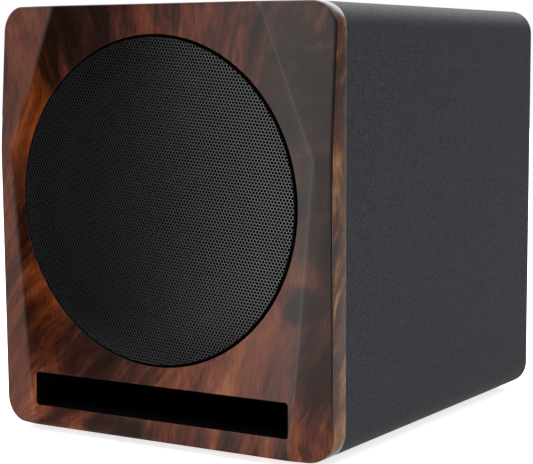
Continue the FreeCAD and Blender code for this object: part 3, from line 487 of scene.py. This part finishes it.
def new_piece(name, verts, faces, look, body="cabinet", smooth=True, outward=True):
    """A mesh piece riding a body, or left free when the body is None."""
    mesh = bpy.data.meshes.new(name)
    mesh.from_pydata(verts, [], faces)
    mesh.materials.append(look)
    mesh.polygons.foreach_set("use_smooth", [smooth] * len(mesh.polygons))
    mesh.update()
    made = linked(name, mesh)
    if outward:
        outward_faces(made)
    if body:
        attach(made, body)
    return made


def stand_for(made, node):
    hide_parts(node)


def clamped(level):
    return min(1.0, max(0.0, level))


def around(count):
    return [2 * math.pi * step / count for step in range(count)]


def looped(ring):
    """Each member of a ring with the one after it."""
    return zip(ring, [*ring[1:], ring[0]])


def strip(ring, other):
    """Faces between two rings."""
    return [(near, after, far_after, far)
            for (near, after), (far, far_after) in zip(looped(ring), looped(other))]


def rounded_loop(left, right, low, high, radius, inset, steps, straight=4 * MM):
    """Points round a rectangle with round corners, set in by a distance, anticlockwise from the front."""
    left, right, low, high, radius = left + inset, right - inset, low + inset, high - inset, radius - inset
    corners = [(right - radius, low + radius, -90), (right - radius, high - radius, 0),
               (left + radius, high - radius, 90), (left + radius, low + radius, 180)]
    arcs = []
    for x, z, start in corners:
        turns = [math.radians(start + 90 * step / steps) for step in range(steps + 1)]
        arcs.append([(x + radius * math.cos(turn), z + radius * math.sin(turn)) for turn in turns])
    points = []
    for arc, after in looped(arcs):
        begin, end = arc[-1], after[0]
        count = max(1, round(math.dist(begin, end) / straight))
        points += arc
        for step in range(1, count):
            share = step / count
            points.append((begin[0] + (end[0] - begin[0]) * share, begin[1] + (end[1] - begin[1]) * share))
    return points


def circle(x, z, radius, count):
    return [(x + radius * math.cos(turn), z + radius * math.sin(turn)) for turn in around(count)]


def outward_faces(made):
    mesh = bmesh.new()
    mesh.from_mesh(made.data)
    bmesh.ops.recalc_face_normals(mesh, faces=mesh.faces)
    mesh.to_mesh(made.data)
    mesh.free()


def sharpen(made, angle):
    """Smooth shading with sharp edges where faces turn by more than an angle."""
    made.data.polygons.foreach_set("use_smooth", [True] * len(made.data.polygons))
    made.data.set_sharp_from_angle(angle=math.radians(angle))


# ---- fascia

def facet_plane(first, second, third):
    """Coefficients (x, z, constant) of a facet's depth behind the front plane."""
    a, b, c = (Vector((x, depth, z)) for x, depth, z in (first, second, third))
    normal = (b - a).cross(c - a)
    slope_x = -normal.x / normal.y
    slope_z = -normal.z / normal.y
    return slope_x, slope_z, a.y - slope_x * a.x - slope_z * a.z


TALL = HIGH_Z - LOW_Z
NODE_POINT = (CREASE_NODE[0], 0.0, CREASE_NODE[1])
UPPER = facet_plane((CREASE_TOP_X, 0.0, TALL), NODE_POINT, EDGE_NODE)
LOWER = facet_plane((CREASE_LOW_X, 0.0, 0.0), NODE_POINT, EDGE_NODE)


def soft_max(first, second, softness):
    return (first + second + math.sqrt((first - second) ** 2 + softness ** 2)) / 2


def fascia_depth(x, z):
    """How far the front surface lies behind the front plane: two facets a side, with softened creases."""
    up = z - LOW_Z
    crispness = clamped((TALL - up) / (TALL - CREASE_NODE[1]))
    softness = (0.06 + 0.12 * crispness) * MM
    upper, lower = (by_x * abs(x) + by_z * up + level for by_x, by_z, level in (UPPER, LOWER))
    depth = soft_max(soft_max(0.0, upper, softness), lower, softness)
    return max(0.0, depth - softness ** 2 / (4 * max(softness, abs(upper), abs(lower))))


CREASE_ENDS = [((CREASE_TOP_X, TALL), CREASE_NODE), ((CREASE_LOW_X, 0.0), CREASE_NODE),
               (CREASE_NODE, (EDGE_NODE[0], EDGE_NODE[2]))]
CREASE_STEP = 2.4 * MM
CREASE_CLEAR = 3 * MM
BESIDE_CREASE = (-2.0, -1.1, -0.5, 0.0, 0.5, 1.1, 2.0)  # in mm


def crease_points():
    """Runs of points along the creases and beside them, so that each crease is rounded cleanly."""
    found = []
    for side in (-1, 1):
        for begin, end in CREASE_ENDS:
            begin = Vector((side * begin[0], LOW_Z + begin[1]))
            end = Vector((side * end[0], LOW_Z + end[1]))
            run = end - begin
            beside = Vector((-run.y, run.x)).normalized()
            count = int(run.length / CREASE_STEP)
            for step, offset in product(range(count + 1), BESIDE_CREASE):
                point = begin + run * (step / count) + beside * offset * MM
                if clear_of_edges(point.x, point.y):
                    found.append((point.x, point.y))
    return found


def off_crease(x, z):
    """How far a point lies from the nearest crease."""
    point = Vector((abs(x), z - LOW_Z))
    best = HALF_WIDTH
    for begin, end in CREASE_ENDS:
        begin = Vector(begin)
        run = Vector(end) - begin
        share = clamped((point - begin).dot(run) / run.length_squared)
        best = min(best, (point - begin - run * share).length)
    return best


def rounding(inset, radius):
    """Depth of a rounded edge at a distance in from it."""
    if inset >= radius:
        return 0.0
    return radius - math.sqrt(radius ** 2 - (radius - inset) ** 2)


def in_slot(x, z):
    """Whether a point lies in the port slot's round-cornered outline."""
    past_x = max(0.0, abs(x) - (PORT_HALF - PORT_ROUND))
    past_z = max(0.0, abs(z - (PORT_LOW + PORT_HIGH) / 2) - ((PORT_HIGH - PORT_LOW) / 2 - PORT_ROUND))
    return math.hypot(past_x, past_z) < PORT_ROUND


EDGE_ROUND = 1.3 * MM
HOLE_ROUND = 0.15 * MM
INSETS = [level * MM for level in (0.0, 0.08, 0.3, 0.7, 1.3, 2.6, 4.5)]  # rings in from the outline
OUTLINE = (-HALF_WIDTH, HALF_WIDTH, LOW_Z, HIGH_Z, CORNER)
SLOT = (-PORT_HALF, PORT_HALF, PORT_LOW, PORT_HIGH, PORT_ROUND)
GRID_STEP = 3.2 * MM
GRID_MARGIN = 3.4 * MM
HOLE_MARGIN = 2 * MM
MIDDLE_Z = (LOW_Z + HIGH_Z) / 2
WELD = 1e-7
JUST_INSIDE = 0.9999
OFF_EDGE = (1.0, 0.0)  # distance in and rounding of a point that is on no edge
REAR_BEVEL = 0.8 * MM
LINING_Y = FRONT_Y + 14 * MM


def edge_rings():
    """Rings along the outline, the opening and the slot: each its distance in, rounding and points."""
    shrunk = [step * HOLE_ROUND / EDGE_ROUND for step in INSETS]
    outline = [(step, EDGE_ROUND, rounded_loop(*OUTLINE, step, 20)) for step in INSETS[:-1]]
    opening = [(step, HOLE_ROUND, circle(0, OPENING_Z, OPENING_RADIUS + step, 240)) for step in shrunk]
    slot = [(step, HOLE_ROUND, rounded_loop(*SLOT, -step, 8)) for step in shrunk]
    return outline, opening, slot


def clear_of_edges(x, z):
    round_x = max(0.0, abs(x) - (HALF_WIDTH - CORNER))
    round_z = max(0.0, abs(z - MIDDLE_Z) - (TALL / 2 - CORNER))
    in_outline = max(abs(x) - HALF_WIDTH, abs(z - MIDDLE_Z) - TALL / 2) < -GRID_MARGIN
    in_corner = math.hypot(round_x, round_z) < CORNER - GRID_MARGIN
    off_hole = math.hypot(x, z - OPENING_Z) > OPENING_RADIUS + HOLE_MARGIN
    off_port = abs(x) > PORT_HALF + HOLE_MARGIN or not PORT_LOW - HOLE_MARGIN < z < PORT_HIGH + HOLE_MARGIN
    return in_outline and in_corner and off_hole and off_port


def face_grid():
    """Staggered points over the front, clear of its edges and creases."""
    found = []
    for row, column in product(range(int(TALL / GRID_STEP)), range(int(2 * HALF_WIDTH / GRID_STEP))):
        x = -HALF_WIDTH + GRID_STEP * (column + 0.5 + 0.5 * (row % 2))
        z = LOW_Z + GRID_STEP * (row + 0.5)
        if clear_of_edges(x, z) and off_crease(x, z) > CREASE_CLEAR:
            found.append((x, z))
    return found


def board_triangles(points, rings):
    """Triangles between rings of points, without the opening and the slot, and each point's sources."""
    edges = [pair for ring in rings for pair in looped(ring)]
    flat = [Vector(point) for point in points]
    points, _, faces, sources = geometry.delaunay_2d_cdt(flat, edges, [], 1, WELD)[:4]
    kept = []
    for face in faces:
        centre = sum((points[index] for index in face), Vector((0, 0))) / len(face)
        in_hole = math.hypot(centre.x, centre.y - OPENING_Z) < OPENING_RADIUS * JUST_INSIDE
        if not in_hole and not in_slot(centre.x, centre.y):
            kept.append(face)
    return points, kept, sources


def wall(verts, front, depths):
    """Strips of faces from a front ring back through (y, distance in) steps, and the last ring."""
    faces = []
    ring = front
    for y, inset in depths:
        following = []
        for index in front:
            base = verts[index]
            flat = Vector((base.x, base.z)) - Vector((0, MIDDLE_Z))
            in_x = math.copysign(inset, flat.x) if abs(flat.x) > HALF_WIDTH - CORNER else 0.0
            in_z = math.copysign(inset, flat.y) if abs(flat.y) > TALL / 2 - CORNER else 0.0
            following.append(len(verts))
            verts.append(Vector((base.x - in_x, y, base.z - in_z)))
        faces += strip(ring, following)
        ring = following
    return faces, ring


def fascia():
    """The lacquered front board: softly creased facets, rounded edges and blackened openings."""
    groups = edge_rings()
    flat = []
    inset_of = []
    loops = []
    for step, radius, points in [ring for group in groups for ring in group]:
        loops.append(list(range(len(flat), len(flat) + len(points))))
        flat += points
        inset_of += [(step, radius)] * len(points)
    inner = crease_points() + face_grid()
    inset_of += [OFF_EDGE] * len(inner)
    points, front, sources = board_triangles(flat + inner, loops)
    verts = []
    for point, source in zip(points, sources):
        step, radius = inset_of[source[0]] if source else OFF_EDGE
        depth = fascia_depth(point.x, point.y) + rounding(step, radius)
        verts.append(Vector((point.x, FRONT_Y + depth, point.y)))
    place = {source: index for index, members in enumerate(sources) for source in members}
    faces = [(tuple(reversed(face)), 0) for face in front]
    seam = [(SEAM_Y - REAR_BEVEL, 0.0), (SEAM_Y - 0.4 * REAR_BEVEL, 0.12 * MM), (SEAM_Y, REAR_BEVEL)]
    lining = [(LINING_Y, 0.0), (SEAM_Y, 0.0)]
    first = 0
    rear = []
    rear_loops = []
    for group, depths, look in zip(groups, (seam, lining, lining), (1, 2, 2)):
        strips, ring = wall(verts, [place[index] for index in loops[first]], depths)
        faces += [(strip, look) for strip in strips]
        rear_loops.append(list(range(len(rear), len(rear) + len(ring))))
        rear += ring
        first += len(group)
    _, back, sources = board_triangles([(verts[index].x, verts[index].z) for index in rear], rear_loops)
    faces += [(tuple(rear[sources[index][0]] for index in face), 2) for face in back]
    made = new_piece("fascia_shell", verts, [face for face, _ in faces], VENEER)
    made.data.materials.append(VENEER_EDGE)
    made.data.materials.append(PORT_BLACK)
    made.data.polygons.foreach_set("material_index", [look for _, look in faces])
    sharpen(made, 35)
    stand_for(made, "front_fascia")


# ---- grille

HOLE_PITCH = 3.0 * MM
HOLE_RADIUS = 1.35 * MM
HOLE_SIDES = 12
ROW_TURN = math.radians(-4.88)
PERFORATED = GRILLE_RADIUS - 0.4 * MM
CROWN = 2.0 * MM
SHEET = 0.8 * MM


def crown_y(radius):
    """The crowned sheet's front surface at a distance from its middle."""
    return GRILLE_FRONT + CROWN * (radius / (GRILLE_RADIUS - 2 * MM)) ** 3


def grille_screen(name, side):
    """One half of the perforated sheet: staggered round holes with walls, cut by the rolled rim."""
    verts = []
    faces = []
    walls = []
    place = {}

    def corner(point, back=0.0):
        x, z = point
        distance = math.hypot(x, z)
        if distance > PERFORATED:
            x *= PERFORATED / distance
            z *= PERFORATED / distance
            distance = PERFORATED
        key = (round(x * 2e5), round(z * 2e5), back > 0)
        if key not in place:
            place[key] = len(verts)
            verts.append((x, crown_y(distance) + back, OPENING_Z + z))
        return place[key]

    row_turn = Matrix.Rotation(ROW_TURN, 2)
    hexagon = HOLE_PITCH / math.sqrt(3)
    reaches = [hexagon, hexagon * math.cos(math.pi / 6)] * (HOLE_SIDES // 2)
    angles = [turn + ROW_TURN + math.pi / 6 for turn in around(HOLE_SIDES)]
    headings = [Vector((math.cos(angle), math.sin(angle))) for angle in angles]
    count = int(GRILLE_RADIUS / (HOLE_PITCH * 0.866)) + 2
    for row, column in product(range(-count, count + 1), repeat=2):
        flat = Vector(((column + 0.5 * (row % 2)) * HOLE_PITCH, row * HOLE_PITCH * math.sqrt(3) / 2))
        centre = row_turn @ flat
        if centre.length > PERFORATED + HOLE_PITCH * 0.3 or (centre.x >= 0) != (side > 0):
            continue
        outer = [corner(centre + heading * reach) for heading, reach in zip(headings, reaches)]
        inner = [corner(centre + heading * HOLE_RADIUS) for heading in headings]
        deep = [corner(centre + heading * HOLE_RADIUS, SHEET) for heading in headings]
        for edge, near, far in zip(looped(outer), looped(inner), looped(deep)):
            for one, other in ((edge, near), (near, far)):
                corners = list(dict.fromkeys((one[0], other[0], other[1], one[1])))
                if len(corners) >= 3:
                    faces.append(corners)
                    walls.append(int(other is far))
    made = new_piece(name, verts, faces, GRILLE_PAINT, smooth=False, outward=False)
    # The hole walls take the lighter paint, a painted highlight.
    made.data.materials.append(WALL_PAINTED_HIGHLIGHT)
    made.data.polygons.foreach_set("material_index", walls)
    drop_slivers(made)
    stand_for(made, "grille")


def drop_slivers(made):
    """Remove the zero-area faces left where cut holes meet the rim."""
    mesh = bmesh.new()
    mesh.from_mesh(made.data)
    flat = [face for face in mesh.faces if face.calc_area() < 1e-10]
    bmesh.ops.delete(mesh, geom=flat, context="FACES")
    loose = [vertex for vertex in mesh.verts if not vertex.link_faces]
    bmesh.ops.delete(mesh, geom=loose, context="VERTS")
    mesh.to_mesh(made.data)
    mesh.free()


def turned_piece(name, profile, look, body="cabinet", count=192):
    """A ring turned about the driver's axis from a closed profile of (radius, y) points."""
    verts = []
    for turn in around(count):
        verts += [(radius * math.cos(turn), y, OPENING_Z + radius * math.sin(turn)) for radius, y in profile]
    size = len(profile)
    faces = []
    for here, after in looped(range(0, count * size, size)):
        faces += strip(range(here, here + size), range(after, after + size))
    made = new_piece(name, verts, faces, look, body)
    sharpen(made, 40)
    return made


def grille_rim():
    """The rolled edge of the grille and its skirt."""
    start_y = crown_y(PERFORATED)
    back_y = GRILLE[1].y
    bend = GRILLE_RADIUS - PERFORATED
    profile = [(PERFORATED - 0.05 * MM, start_y + SHEET), (PERFORATED - 0.05 * MM, start_y - 0.02 * MM)]
    for step in range(9):
        angle = math.pi / 2 * step / 8
        profile.append((PERFORATED + bend * math.sin(angle), start_y + bend * (1 - math.cos(angle))))
    inside = GRILLE_RADIUS - SHEET
    profile += [(GRILLE_RADIUS, back_y), (inside, back_y), (inside, start_y + bend),
                (PERFORATED, start_y + SHEET)]
    # The rim wears the near-black matte look instead of the grille's paint: painted shade on its dark side.
    stand_for(turned_piece("grille_rim", profile, SHADE_BLACK), "grille")


# ---- driver's soft parts

def bend_with_cone(made, weight_of):
    """Bake a piece's transform and reckon each vertex's share of the cone's travel from weight_of; the
    shares are not applied.
    """
    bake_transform(made)
    shares = [weight_of(vertex.co) for vertex in made.data.vertices]


def radial_share(inner, outer):
    def share(point):
        distance = math.hypot(point.x, point.z - OPENING_Z)
        level = clamped((outer - distance) / (outer - inner))
        return level * level * (3 - 2 * level)
    return share


def half_round(centre, half, base, rise):
    """A half ellipse from its outer end to its inner one."""
    return [(centre + half * math.cos(turn), base - rise * math.sin(turn)) for turn in around(40)[:21]]


def surround():
    """The rubber roll between two flat lips."""
    low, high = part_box("surround")
    rear = high.y
    front = rear - 1 * MM
    cone_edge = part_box("cone")[1].x
    roll_low = cone_edge - 0.5 * MM
    roll_high = cone_edge + 14.5 * MM
    lip = cone_edge - 4.5 * MM
    centre = (roll_low + roll_high) / 2
    half = (roll_high - roll_low) / 2
    profile = [(high.x, rear), (high.x, front), *half_round(centre, half, front, front - low.y),
               (lip, front), (lip, rear),
               *reversed(half_round(centre, half - 1.2 * MM, rear, rear - 2.2 * MM - low.y))]
    made = turned_piece("surround_roll", profile, SLOT_LOOKS["surround_rubber"], None, 128)
    bend_with_cone(made, radial_share(roll_low, roll_high))
    stand_for(made, "surround")


def spider():
    """Corrugated cloth between the basket and the voice coil former."""
    low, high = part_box("spider")
    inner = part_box("voice_coil_former")[1].x
    cloth = 0.6 * MM
    steps = 88
    front = []
    for step in range(steps + 1):
        share = step / steps
        wave = 0.0
        if 0.1 < share < 0.9:
            wave = (1 - math.cos(2 * math.pi * 5 * (share - 0.1) / 0.8)) / 2
        front.append((high.x + (inner - high.x) * share, high.y - (high.y - low.y - cloth) * wave))
    rear = [(radius, y - cloth) for radius, y in reversed(front)]
    made = turned_piece("spider_cloth", front + rear, SLOT_LOOKS["spider_cloth"], None, 96)
    bend_with_cone(made, radial_share(inner, high.x))
    stand_for(made, "spider")


def tinsel_leads():
    """Two braided leads in a slack loop from the basket's shelf to the cone."""
    low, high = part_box("tinsel_leads")
    for name, side in (("tinsel_lead_left", -1), ("tinsel_lead_right", 1)):
        x = side * (high.x - 0.8 * MM)
        curve = bpy.data.curves.new(name, "CURVE")
        curve.dimensions = "3D"
        curve.bevel_depth = 0.75 * MM
        curve.bevel_resolution = 4
        curve.use_fill_caps = True
        spline = curve.splines.new("NURBS")
        start = Vector((x, high.y - 1 * MM, low.z + 1 * MM))
        end = Vector((x, low.y + 1 * MM, high.z - 1 * MM))
        points = [start, start.lerp(end, 0.3) + Vector((0, 0, -2 * MM)),
                  start.lerp(end, 0.7) + Vector((0, 2 * MM, -1 * MM)), end]
        spline.points.add(len(points) - 1)
        for held, point in zip(spline.points, points):
            held.co = (*point, 1)
        spline.order_u = 3
        spline.use_endpoint_u = True
        holder = linked(name, curve)
        mesh = bpy.data.meshes.new_from_object(holder.evaluated_get(bpy.context.evaluated_depsgraph_get()))
        bpy.data.objects.remove(holder)
        made = linked(name, mesh)
        mesh.materials.clear()
        mesh.materials.append(SLOT_LOOKS["winding_copper"])
        length = end.y - start.y
        bend_with_cone(made, lambda point: clamped((point.y - start.y) / length))
        stand_for(made, "tinsel_leads")


# ---- wadding

def wadding():
    """Six quilted polyester mats on the inner walls."""
    source = frame["nodes"]["acoustic_wadding"].data
    mesh = bmesh.new()
    mesh.from_mesh(source)
    bmesh.ops.remove_doubles(mesh, verts=mesh.verts, dist=1e-6)
    seen = set()
    boxes = []
    for vertex in mesh.verts:
        if vertex in seen:
            continue
        island = [vertex]
        seen.add(vertex)
        for member in island:
            for edge in member.link_edges:
                other = edge.other_vert(member)
                if other not in seen:
                    seen.add(other)
                    island.append(other)
        low = Vector([min(member.co[axis] for member in island) for axis in range(3)])
        high = Vector([max(member.co[axis] for member in island) for axis in range(3)])
        boxes.append((low, high))
    mesh.free()
    for index, (low, high) in enumerate(sorted(boxes, key=lambda item: tuple(item[0]))):
        quilted_mat(f"wadding_mat_{index + 1}", low, high)


MAT_CELL = 6 * MM
QUILT_PITCH = 60 * MM
MAT_EDGE = 9 * MM


def quilted_mat(name, low, high):
    size = high - low
    thin = min(range(3), key=lambda axis: size[axis])
    wide, long = [axis for axis in range(3) if axis != thin]
    rows, cells = (max(8, int(size[axis] / MAT_CELL)) for axis in (wide, long))
    verts = []
    for side, i, j in product((-1, 1), range(rows + 1), range(cells + 1)):
        point = Vector((0, 0, 0))
        swell = 1.0
        quilt = 1.0
        for axis, share in ((wide, i / rows), (long, j / cells)):
            edge = min(share, 1 - share) * size[axis] / MAT_EDGE
            swell *= math.sqrt(1 - (1 - min(1.0, edge)) ** 2)
            quilt *= math.sin(math.pi * share * size[axis] / QUILT_PITCH)
            point[axis] = low[axis] + size[axis] * share
        half = size[thin] / 2 * (0.25 + 0.75 * swell * (0.80 + 0.20 * abs(quilt) ** 0.5))
        point[thin] = (low[thin] + high[thin]) / 2 + side * half
        verts.append(point)
    row = cells + 1
    sheet = (rows + 1) * row
    faces = []
    for side, i, j in product((0, 1), range(rows), range(cells)):
        corner = side * sheet + i * row + j
        face = (corner, corner + 1, corner + row + 1, corner + row)
        faces.append(face if side else face[::-1])
    rim = [i * row for i in range(rows)] + [rows * row + j for j in range(cells)]
    rim += [i * row + cells for i in range(rows, 0, -1)] + list(range(cells, 0, -1))
    faces += strip(rim, [vertex + sheet for vertex in rim])
    made = new_piece(name, verts, faces, SLOT_LOOKS["wadding"])
    stand_for(made, "acoustic_wadding")


# ---- finish on the CAD nodes

# each node's broken edge in mm
SOFT_EDGES = {
    "amp_plate": 0.5, "input_sockets": 0.35, "output_sockets": 0.35, "mains_inlet": 0.4, "switch_case": 0.5,
    "power_rocker": 0.6, "fuse_drawer": 0.3, "rubber_feet": 0.8, "phase_switch": 0.3, "feet_screws": 0.3,
    "input_left_latch": 0.3, "input_right_latch": 0.3, "amp_plate_screws": 0.5, "woofer_screws": 0.6,
    "level_knob": 0.25, "crossover_knob": 0.25, "back_panel": 0.3, "vinyl_wrap": 0.2,
}


def finish_nodes():
    """Each CAD node takes its slot's look or an override below, and smooth shading by angle; the nodes in
    SOFT_EDGES also take a small broken edge.
    """
    slots = {part["node"]: part["material_slot"] for part in frame["record"]["subparts"]}
    for node, piece in frame["nodes"].items():
        look = SLOT_LOOKS[slots[node]]
        if node in ("port_shelf", "port_side_spacers", "inner_baffle"):
            look = PORT_BLACK
        if node in ("left_panel", "right_panel", "top_panel", "bottom_panel"):
            look = covered_board(node + "_board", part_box(node)[1].y, node == "bottom_panel")
        # Painted shade: the ring, basket and screws behind the grille wear the near-black matte look instead
        # of their own finish.
        if node in ("grille_ring", "woofer_basket", "woofer_screws"):
            look = SHADE_BLACK
        piece.data.materials.clear()
        piece.data.materials.append(look)
        sharpen(piece, 32)
        if node in SOFT_EDGES:
            soft = piece.modifiers.new("broken_edge", "BEVEL")
            soft.width = SOFT_EDGES[node] * MM
            soft.segments = 2
            soft.limit_method = "ANGLE"
            soft.angle_limit = math.radians(40)
            soft.harden_normals = True


# ---- print and screws on the rear panel

INK_THICK = 0.03 * MM
INK_SUNK = 0.02 * MM


def rear_surface(node, x, z):
    """The y of a node's surface as met from behind."""
    hit, place, _, _ = frame["nodes"][node].ray_cast(Vector((x, 1.0, z)), Vector((0, -1, 0)))
    return place.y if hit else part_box(node)[1].y


def print_on(name, node, shapes, body="cabinet"):
    """White print: each shape is a closed strip given by its two sides, laid on a node's rear surface."""
    verts = []
    faces = []
    for one, other, closed in shapes:
        start = len(verts)
        for side, far_side in zip(one, other):
            for (x, z), rises in ((side, (-INK_SUNK, INK_THICK)), (far_side, (INK_THICK, -INK_SUNK))):
                verts += [(x, rear_surface(node, x, z) + rise, z) for rise in rises]
        heads = range(start, len(verts), 4)
        for here, there in list(looped(heads))[:None if closed else -1]:
            faces += strip(range(here, here + 4), range(there, there + 4))
        if not closed:
            last = heads[-1]
            faces += [(start, start + 3, start + 2, start + 1), (last, last + 1, last + 2, last + 3)]
    made = new_piece(name, verts, faces, INK, body, smooth=False)


def line(begin, end, width):
    begin = Vector(begin)
    end = Vector(end)
    along = end - begin
    across = Vector((-along.y, along.x)).normalized() * width / 2
    one, other = ([tuple(begin.lerp(end, share) + offset) for share in (0, 0.5, 1)]
                  for offset in (across, -across))
    return one, other, False


def ring_shape(centre, radius, width):
    one, other = (circle(*centre, reach, 40) for reach in (radius, radius - width))
    return one, other, True


def frame_shape(left, right, low, high):
    """A thin round-cornered frame."""
    one, other = (rounded_loop(left, right, low, high, 4 * MM, inset, 6, 40 * MM)
                  for inset in (0.0, 0.4 * MM))
    return one, other, True


def middle_of(node):
    low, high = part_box(node)
    return (low + high) / 2


def rear_print():
    """Scales, frames and marks on the rear plate, and the marks on its knobs and rocker."""
    shapes = []
    for node in ("level_knob", "crossover_knob"):
        centre = middle_of(node)
        base = Vector((centre.x, centre.z))
        for step in range(11):
            turn = math.radians(-140 + 28 * step)
            near, far, width = (11.2, 14.2, 0.5) if step % 5 == 0 else (11.6, 13.4, 0.35)
            aim = Vector((math.sin(turn), math.cos(turn)))
            shapes.append(line(base + aim * near * MM, base + aim * far * MM, width * MM))
    for first, last, rim in (("input_sockets", "input_sockets", 5 * MM),
                             ("output_sockets", "output_sockets", 5 * MM),
                             ("switch_case", "mains_inlet", 6 * MM)):
        low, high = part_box(last)
        shapes.append(frame_shape(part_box(first)[0].x - rim, high.x + rim, low.z - rim, high.z + rim))
    switch = middle_of("phase_switch")
    aside = 11 * MM
    tall = 1.4 * MM
    shapes.append(ring_shape((switch.x - aside, switch.z), tall, 0.35 * MM))
    shapes.append(line((switch.x + aside, switch.z - tall), (switch.x + aside, switch.z + tall), 0.4 * MM))
    led = middle_of("status_led")
    shapes.append(ring_shape((led.x, led.z), 3.4 * MM, 0.35 * MM))
    print_on("rear_print", "amp_plate", shapes)
    for node, body in (("level_knob", "level_control"), ("crossover_knob", "crossover_control")):
        centre = middle_of(node)
        pointer = line((centre.x, centre.z + 2.6 * MM), (centre.x, centre.z + 7.0 * MM), 0.8 * MM)
        print_on(node + "_pointer", node, [pointer], body)
    rocker = middle_of("power_rocker")
    print_on("rocker_marks", "power_rocker", [
        line((rocker.x, rocker.z + 4.6 * MM), (rocker.x, rocker.z + 8.2 * MM), 0.6 * MM),
        ring_shape((rocker.x, rocker.z - 6.4 * MM), 1.9 * MM, 0.5 * MM),
    ], "power_rocker")


def flange_screws():
    """Socket-head screws in the corners of the signal sockets' flanges."""
    flange = 26 * MM
    inset = 3.6 * MM
    for index, node in enumerate(("input_sockets", "output_sockets")):
        low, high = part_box(node)
        for place, left in enumerate((low.x, high.x - flange)):
            spots = ((left + inset, high.z - inset), (left + flange - inset, low.z + inset))
            for corner, (x, z) in enumerate(spots):
                socket_screw(f"flange_screw_{index}{place}{corner}", x, rear_surface(node, x, z), z)


def socket_screw(name, x, y, z):
    """A low domed head with a hexagonal socket."""
    count = 24
    sections = [(2.0, -0.4), (2.0, 0.25), (1.75, 0.6), (1.3, 0.75), (0.0, 0.75), (0.0, -0.1)]
    verts = []
    for radius, rise in sections:
        for turn in around(count):
            flat = 0.95 * math.cos(math.pi / 6) / math.cos((turn % (math.pi / 3)) - math.pi / 6)
            reach = (radius or flat) * MM
            verts.append((x + reach * math.cos(turn), y + rise * MM, z + reach * math.sin(turn)))
    faces = []
    rings = [list(range(start, start + count)) for start in range(0, len(verts), count)]
    for ring, after in zip(rings, rings[1:]):
        faces += strip(ring, after)
    faces += [tuple(rings[0]), tuple(rings[-1])]
    made = new_piece(name, verts, faces, SLOT_LOOKS["screw_steel"])
    sharpen(made, 35)


# ---- studio

# radiance of the studio round the object: degrees from straight ahead, below and above the horizon
SURROUNDINGS = [
    (-180, 0.80, 1.10), (-140, 0.60, 1.00), (-75, 0.55, 0.50), (-57, 0.42, 0.42), (-47, 0.06, 0.04),
    (-40, 0.02, 0.02), (-38.3, 0.07, 0.03), (-36.3, 0.22, 0.20), (-34.9, 0.46, 0.44), (-33.5, 0.82, 0.86),
    (-31, 1.35, 1.20), (-28, 1.85, 1.75), (-24, 1.90, 1.80), (-10.5, 1.20, 1.20), (-8, 0.84, 0.74),
    (-5, 0.74, 0.66), (12, 0.45, 0.45), (35, 0.12, 0.12), (110, 0.15, 0.12), (135, 0.64, 0.13),
    (160, 0.64, 0.20), (180, 0.80, 1.10),
]
CEILING = (1.75, 1.75, 1.75)
NEAR_FLOOR = (0.45, 0.45, 0.45)
FLOOR_HALF = 6.0


def studio_walls():
    """Soft walls with a black flag to the front left, a bright card to the front right, a pale ceiling."""
    world = bpy.data.worlds.new("studio")
    g = Graph(world)
    x, y, z = parts_of(g, g.spaces["Generated"])
    share = g.span(g.sum("ARCTAN2", x, g.times(y, -1.0)), -math.pi, math.pi)
    below, above = (g.ramp(share, [(row[0] / 360 + 0.5, (row[column],) * 3) for row in SURROUNDINGS])
                    for column in (1, 2))
    walls = g.blend(g.span(z, -0.24, 0.04, smooth=True), below, above)
    walls = g.blend(g.span(z, 0.35, 0.75, smooth=True), walls, CEILING)
    walls = g.blend(g.span(z, -0.27, -0.18, smooth=True), NEAR_FLOOR, walls)
    seen = g.blend(g.node("ShaderNodeLightPath").outputs["Is Camera Ray"], walls, (1, 1, 1))
    g.feed(g.tree.nodes["Background"].inputs["Color"], seen)
    return world


def lamp(name, place, aim, size_x, size_y, power):
    light = bpy.data.lights.new(name, "AREA")
    light.shape = "RECTANGLE"
    light.size = size_x
    light.size_y = size_y
    light.energy = power
    made = linked(name, light)
    made.location = place
    made.rotation_euler = (Vector(aim) - Vector(place)).to_track_quat("-Z", "Y").to_euler()


def studio():
    scene = bpy.context.scene
    scene.view_settings.view_transform = "Standard"
    scene.world = studio_walls()
    g = Look("pale_floor", Roughness=0.9, Specular_IOR_Level=0.1, Emission_Color=(1, 1, 1, 1),
             Emission_Strength=0.75)
    g.colour(g.ramp(g.noise(3.0), [(0.3, (0.89,) * 3), (0.7, (0.91,) * 3)]))
    edge = FLOOR_HALF
    corners = [(-edge, -edge, 0), (edge, -edge, 0), (edge, edge, 0), (-edge, edge, 0)]
    floor = new_piece("floor", corners, [(0, 1, 2, 3)], g.made, None, smooth=False, outward=False)
    floor.visible_glossy = False
    lamp("overhead", (0.0, -0.2, 1.9), (0, 0, 0.2), 1.6, 1.6, 12)
    lamp("kicker", (-0.3, 1.8, 1.25), (0.1, 0, 0.3), 1.4, 0.6, 2.4)
    lamp("low_side", (0.75, -0.12, 0.03), (0.17, -0.12, 0.08), 0.3, 0.3, 1.0)


def camera():
    """The lens stands to the right of the front, a little above the box."""
    yaw = math.radians(31.84)
    pitch = math.radians(6.03)
    roll = math.radians(-0.115)
    away = Vector((math.sin(yaw) * math.cos(pitch), -math.cos(yaw) * math.cos(pitch), math.sin(pitch)))
    right = (-away).cross(Vector((0, 0, 1))).normalized()
    up = right.cross(-away)
    tilted_right = math.cos(roll) * right + math.sin(roll) * up
    tilted_up = -math.sin(roll) * right + math.cos(roll) * up
    lens = bpy.data.cameras.new("camera")
    lens.sensor_width = 36
    lens.lens = 110.03
    lens.clip_end = 100
    made = linked("camera", lens)
    made.matrix_world = Matrix((tilted_right, tilted_up, away)).transposed().to_4x4()
    made.location = Vector((797.39 * MM, FRONT_Y - 1105.48 * MM, LOW_Z + 323.15 * MM))
    bpy.context.scene.camera = made


camera()
studio()
finish_nodes()
fascia()
grille_screen("grille_screen_left", -1)
grille_screen("grille_screen_right", 1)
grille_rim()
surround()
spider()
tinsel_leads()
wadding()
rear_print()
flange_screws()
